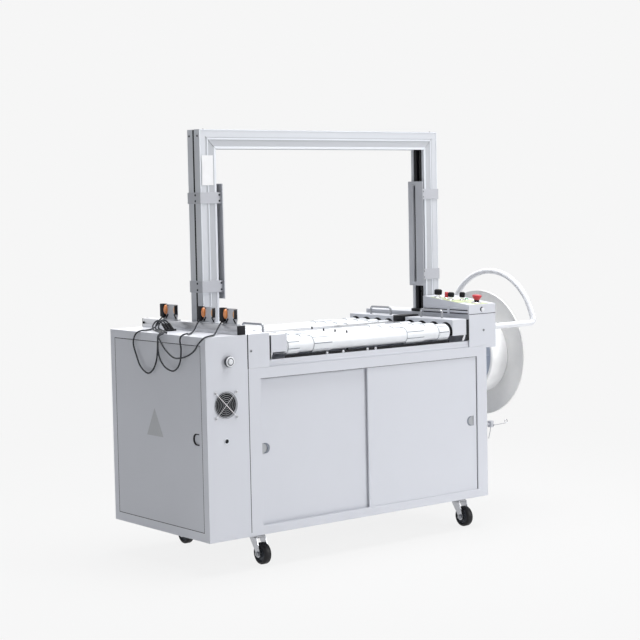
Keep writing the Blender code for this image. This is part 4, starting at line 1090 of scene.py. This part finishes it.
class ReelBuild(bpy.types.Operator):
    """Makes the strap reel, its hoop and the strap guide"""
    bl_idname = "strapper.reel"
    bl_label = "Reel and hoop"

    def execute(self, context):
        low, high = low_of("strap_reel"), high_of("strap_reel")
        centre = (0, (low.y + high.y) / 2, (low.z + high.z) / 2)
        radius, drum, face = (high.y - low.y) / 2, 0.156, high.x - 0.008
        bore = 0.0135
        bm = bmesh.new()
        flange = [(0.0008, bore), (0.0008, radius - 0.004), (-0.0008, radius - 0.002), (0.0005, radius),
                  (0.0060, radius), (0.0078, radius - 0.002), (0.0060, radius - 0.006), (0.0050, 0.060),
                  (0.0080, 0.055), (0.0080, bore)]
        add_turned(bm, [(face + d, r) for d, r in flange], centre, (1, 0, 0), 96, closed=True)
        piece("reel_flange", bm, "reel_plastic", "strap_reel", nodes=["strap_reel"])
        bm = bmesh.new()
        for rib in range(12):
            a = math.tau * rib / 12
            out = Vector((0, math.cos(a), math.sin(a)))
            hub = Vector((face + 0.0050, centre[1], centre[2]))
            add_rod(bm, hub + out * 0.052, hub + out * (radius - 0.016), 0.0024, 10)
        for ring in (0.120, radius - 0.014):
            add_ring(bm, (face + 0.0052, centre[1], centre[2]), (1, 0, 0), ring, 0.0024, 96, 8)
        piece("reel_flange_ribs", bm, "reel_plastic", "strap_reel")
        bm = bmesh.new()
        add_turned(bm, [(face + 0.0004, 0.060), (face + 0.0004, drum), (low.x + 0.003, drum),
                        (low.x, drum - 0.003), (low.x, drum - 0.010), (low.x + 0.004, drum - 0.012),
                        (low.x + 0.010, 0.060)], centre, (1, 0, 0), 96, closed=True)
        piece("reel_drum", bm, "drum_plastic", "strap_reel")
        # the hub disc and spokes in dark blue grey, partly their own colour and partly painted shade
        bm = bmesh.new()
        disc = [(0.0035, bore), (0.0035, drum - 0.0125), (0.008, drum - 0.0125), (0.008, bore)]
        add_turned(bm, [(low.x + d, r) for d, r in disc], centre, (1, 0, 0), 96, closed=True)
        for spoke in range(6):
            a = math.tau * spoke / 6
            ends = [(low.x + 0.002, centre[1] + r * math.cos(a), centre[2] + r * math.sin(a))
                    for r in (0.030, 0.138)]
            add_rod(bm, *ends, 0.0022, 8)
        piece("reel_hub", bm, "hub_plastic", "strap_reel")

        tube = sizes().hoop_tube
        cy, cz, hoop, leg_z, bend = 0.290, 0.692, 0.236, 0.735, 0.018
        x = high_of("reel_hoop").x - tube
        wall = high_of("right_housing").x
        lean = math.degrees(math.asin((leg_z + bend - cz) / hoop))
        leg = [(wall + out, -LEG_REACH, leg_z) for out in (-0.008, 0.08, 0.16)]
        leg += [(a, -LEG_REACH, b) for a, b in arc((x - bend, leg_z + bend), bend, -90, -8, 10)]
        top = [(x, a, b + cz) for a, b in arc((0, 0), hoop, 180 - lean, lean, 72)]
        route = leg + top + [(a, -b, c) for a, b, c in reversed(leg)]
        wire("hoop", [(a, b + cy, c) for a, b, c in route], tube, "tube_paint", "root", "hoop_paint",
             ["reel_hoop"], 7)
        bm = bmesh.new()
        for side in (-LEG_REACH, LEG_REACH):
            add_ring(bm, (wall + 0.0012, cy + side, leg_z), (1, 0, 0), tube + 0.0012, 0.0014, 32, 8)
        piece("hoop_collars", bm, "white_paint", "root")

        side, y = BODY_HIGH.x - BODY_LOW.x + 0.0003, GUIDE_Y
        bm = bmesh.new()
        add_block(bm, (side, 0.036, 0.352), (side + 0.003, 0.066, 0.388), 0.0006)
        add_rod(bm, (side + 0.002, y, 0.370), (1.150, y, 0.370), 0.0045, 16)
        add_block(bm, (1.140, 0.041, 0.358), (1.156, 0.059, 0.382), 0.0012)
        piece("strap_guide_arm", bm, "bracket_paint", "root")
        bm = bmesh.new()
        add_rod(bm, (1.1545, y, 0.364), (1.1625, y, 0.364), 0.0045, 12, soft=0.0006)
        piece("strap_guide_clip", bm, "black_plastic")
        loop = [(1.156, 0.3655), (1.180, 0.3640), (1.205, 0.3650),
                *arc((1.229, 0.3725), 0.0065, -90, 200, 14)]
        wire("strap_guide_wire", [(a, y, b) for a, b in loop], 0.0014, "zinc", "root", "hoop_paint")
        stay = smooth_points([(1.148, y, 0.358), (1.1445, y, 0.340), (1.137, y, 0.316)], 0.004)
        wire("strap_guide_stay", stay, 0.0014, "zinc", "root", "hoop_paint")
        return {"FINISHED"}


class CastersBuild(bpy.types.Operator):
    """Makes the four swivel casters"""
    bl_idname = "strapper.casters"
    bl_label = "Casters"

    def execute(self, context):
        for row in ("front", "rear"):
            for side in ("left", "right"):
                self.caster(f"{row}_{side}", row)
        return {"FINISHED"}

    @staticmethod
    def caster(place, row):
        fork, wheel = f"caster_fork_{place}", f"caster_wheel_{place}"
        low, high = low_of(wheel), high_of(wheel)
        x, axle_y, axle_z = (low.x + high.x) / 2, (low.y + high.y) / 2, (low.z + high.z) / 2
        y = axle_y + (CASTER_TRAIL if row == "front" else -CASTER_TRAIL)
        bm = bmesh.new()
        races = [(0.1077, 0), (0.1077, 0.0240), (0.1050, 0.0262), (0.1015, 0.0262), (0.0995, 0.0235),
                 (0.0975, 0.0235), (0.0960, 0.0255), (0.0925, 0.0255), (0.0905, 0.0230), (0.0880, 0.0120),
                 (0.0880, 0)]
        add_turned(bm, races, (x, y, 0), (0, 0, 1), 36)
        hub = arc((axle_y, axle_z), 0.0125, 15, -195, 16)
        outline = [(y - 0.021, 0.0935), (y + 0.021, 0.0935), *hub]
        for inner in (-0.0200, 0.0172):
            add_prism(bm, outline, "x", x + inner, x + inner + 0.0028)
        add_block(bm, (x - 0.0200, y - 0.0205, 0.0880), (x + 0.0200, y + 0.0205, 0.0945), 0.0015)
        piece(f"{fork}_pressing", bm, "zinc", fork, nodes=[fork])
        bm = bmesh.new()
        add_rod(bm, (x - 0.0285, axle_y, axle_z), (x + 0.0285, axle_y, axle_z), 0.0042, 16)
        for sign in (-1, 1):
            add_rod(bm, (x + sign * 0.0201, axle_y, axle_z), (x + sign * 0.0262, axle_y, axle_z), 0.0086, 6,
                    soft=0.0007)
        piece(f"{fork}_axle", bm, "screw_steel", fork)
        bm = bmesh.new()
        rim, half = (high.z - low.z) / 2 - 0.0004, 0.0138
        tread = [(half, 0.0285), (half - 0.001, rim - 0.0045), (half - 0.0035, rim - 0.001), (0.0080, rim)]
        add_turned(bm, mirrored(tread), (x, axle_y, axle_z), (1, 0, 0), 48, closed=True)
        piece(f"{wheel}_tyre", bm, "caster_rubber", wheel, nodes=[wheel])
        bm = bmesh.new()
        core = [(0.0135, 0.0047), (0.0135, 0.0110), (0.0085, 0.0130), (0.0080, 0.0255), (0.0120, 0.0284)]
        add_turned(bm, mirrored(core), (x, axle_y, axle_z), (1, 0, 0), 40, closed=True)
        piece(f"{wheel}_core", bm, "dark_plastic", wheel)


class StageBuild(bpy.types.Operator):
    """Lays the pale floor and hangs the soft studio lights"""
    bl_idname = "strapper.stage"
    bl_label = "Studio"

    PAPER = (0.922, 0.922, 0.922)

    def execute(self, context):
        scene = context.scene
        scene.view_settings.view_transform = "Standard"
        self.world(scene)
        bm = bmesh.new()
        bmesh.ops.create_circle(bm, cap_ends=True, segments=64, radius=14)
        mesh = bpy.data.meshes.new("studio_floor")
        bm.to_mesh(mesh)
        bm.free()
        mesh.materials.append(self.floor())
        floor = bpy.data.objects.new("studio_floor", mesh)
        scene.collection.objects.link(floor)
        for name, place, size, power in (
            ("overhead_softbox", (0.3, -0.3, 4.6), 3.6, 270),
            ("front_right_softbox", (3.0, -5.0, 2.6), 2.6, 135),
            ("back_fill", (1.5, 4.6, 2.6), 3.0, 40),
        ):
            light = bpy.data.lights.new(name, "AREA")
            light.shape = "DISK"
            light.size = size
            light.energy = power
            holder = bpy.data.objects.new(name, light)
            target = Vector((0, 0, 0.75))
            turn = (target - Vector(place)).to_track_quat("-Z", "Y").to_matrix().to_4x4()
            holder.matrix_world = Matrix.Translation(place) @ turn
            scene.collection.objects.link(holder)
        return {"FINISHED"}

    def world(self, scene):
        world = bpy.data.worlds.new("studio_world")
        world.use_nodes = True
        tree = world.node_tree
        tree.nodes.clear()
        rays = tree.nodes.new("ShaderNodeLightPath")
        seen = tree.nodes.new("ShaderNodeBackground")
        seen.inputs["Color"].default_value = (*self.PAPER, 1)
        soft = tree.nodes.new("ShaderNodeBackground")
        soft.inputs["Color"].default_value = (0.93, 0.96, 1.0, 1)
        soft.inputs["Strength"].default_value = 0.28
        either = tree.nodes.new("ShaderNodeMath")
        either.operation = "MAXIMUM"
        both = tree.nodes.new("ShaderNodeMixShader")
        end = tree.nodes.new("ShaderNodeOutputWorld")
        for source, socket in ((rays.outputs["Is Camera Ray"], either.inputs[0]),
                               (rays.outputs["Is Glossy Ray"], either.inputs[1]),
                               (either.outputs[0], both.inputs[0]), (soft.outputs[0], both.inputs[1]),
                               (seen.outputs[0], both.inputs[2]), (both.outputs[0], end.inputs["Surface"])):
            tree.links.new(source, socket)
        scene.world = world

    def floor(self):
        """Paper that keeps a light shadow near the machine and fades into the backdrop."""
        surface = Surface("studio_paper", Roughness=0.9, Base_Color=(0.80, 0.80, 0.80, 1))
        paper = surface.add("ShaderNodeEmission", None, {"Color": (*self.PAPER, 1), "Strength": 1.0})
        rays = surface.add("ShaderNodeLightPath")
        seen = surface.out(rays, "Is Camera Ray").math("MAXIMUM", surface.out(rays, "Is Glossy Ray"))
        length = surface.add("ShaderNodeVectorMath", {"operation": "LENGTH"}, {0: surface.place})
        distance = surface.out(length, "Value")
        far = (distance * 0.45 - 0.45).math("MINIMUM", 1.0).math("MAXIMUM", 0.0)
        share = seen * (far * 0.08 + 0.92)
        blend = surface.add("ShaderNodeMixShader", None, {0: share})
        surface.tree.links.new(surface.shader.outputs[0], blend.inputs[1])
        surface.tree.links.new(paper.outputs[0], blend.inputs[2])
        output = surface.tree.nodes["Material Output"]
        surface.tree.links.new(blend.outputs[0], output.inputs["Surface"])
        return surface.material


OPERATORS = (CameraBuild, CablesBuild, PaintworkBuild, RollersBuild, TablesBuild, TrimBuild, ScrewsBuild,
             ArchBuild, SensorsBuild, CabinetBuild, ControlsBuild, ReelBuild, CastersBuild, StageBuild)


class StrapperPanel(bpy.types.Panel):
    """Lists the machine's pieces in the sidebar"""
    bl_idname = "VIEW3D_PT_strapper"
    bl_label = "Arch strapping machine"
    bl_space_type = "VIEW_3D"
    bl_region_type = "UI"
    bl_category = "Strapper"

    def draw(self, context):
        for operator in OPERATORS:
            self.layout.operator(operator.bl_idname)
        for group in (context.scene.strapper_sizes, context.scene.strapper_colours):
            for name in group.__annotations__:
                self.layout.prop(group, name)


CLASSES = (StrapperSizes, StrapperColours, *OPERATORS, StrapperPanel)


def register():
    for each in CLASSES:
        bpy.utils.register_class(each)
    bpy.types.Scene.strapper_sizes = bpy.props.PointerProperty(type=StrapperSizes)
    bpy.types.Scene.strapper_colours = bpy.props.PointerProperty(type=StrapperColours)


def unregister():
    del bpy.types.Scene.strapper_colours
    del bpy.types.Scene.strapper_sizes
    for each in reversed(CLASSES):
        bpy.utils.unregister_class(each)


def main():
    register()
    for operator in OPERATORS:
        group, name = operator.bl_idname.split(".")
        getattr(getattr(bpy.ops, group), name)()


if __name__ == "__main__":
    main()
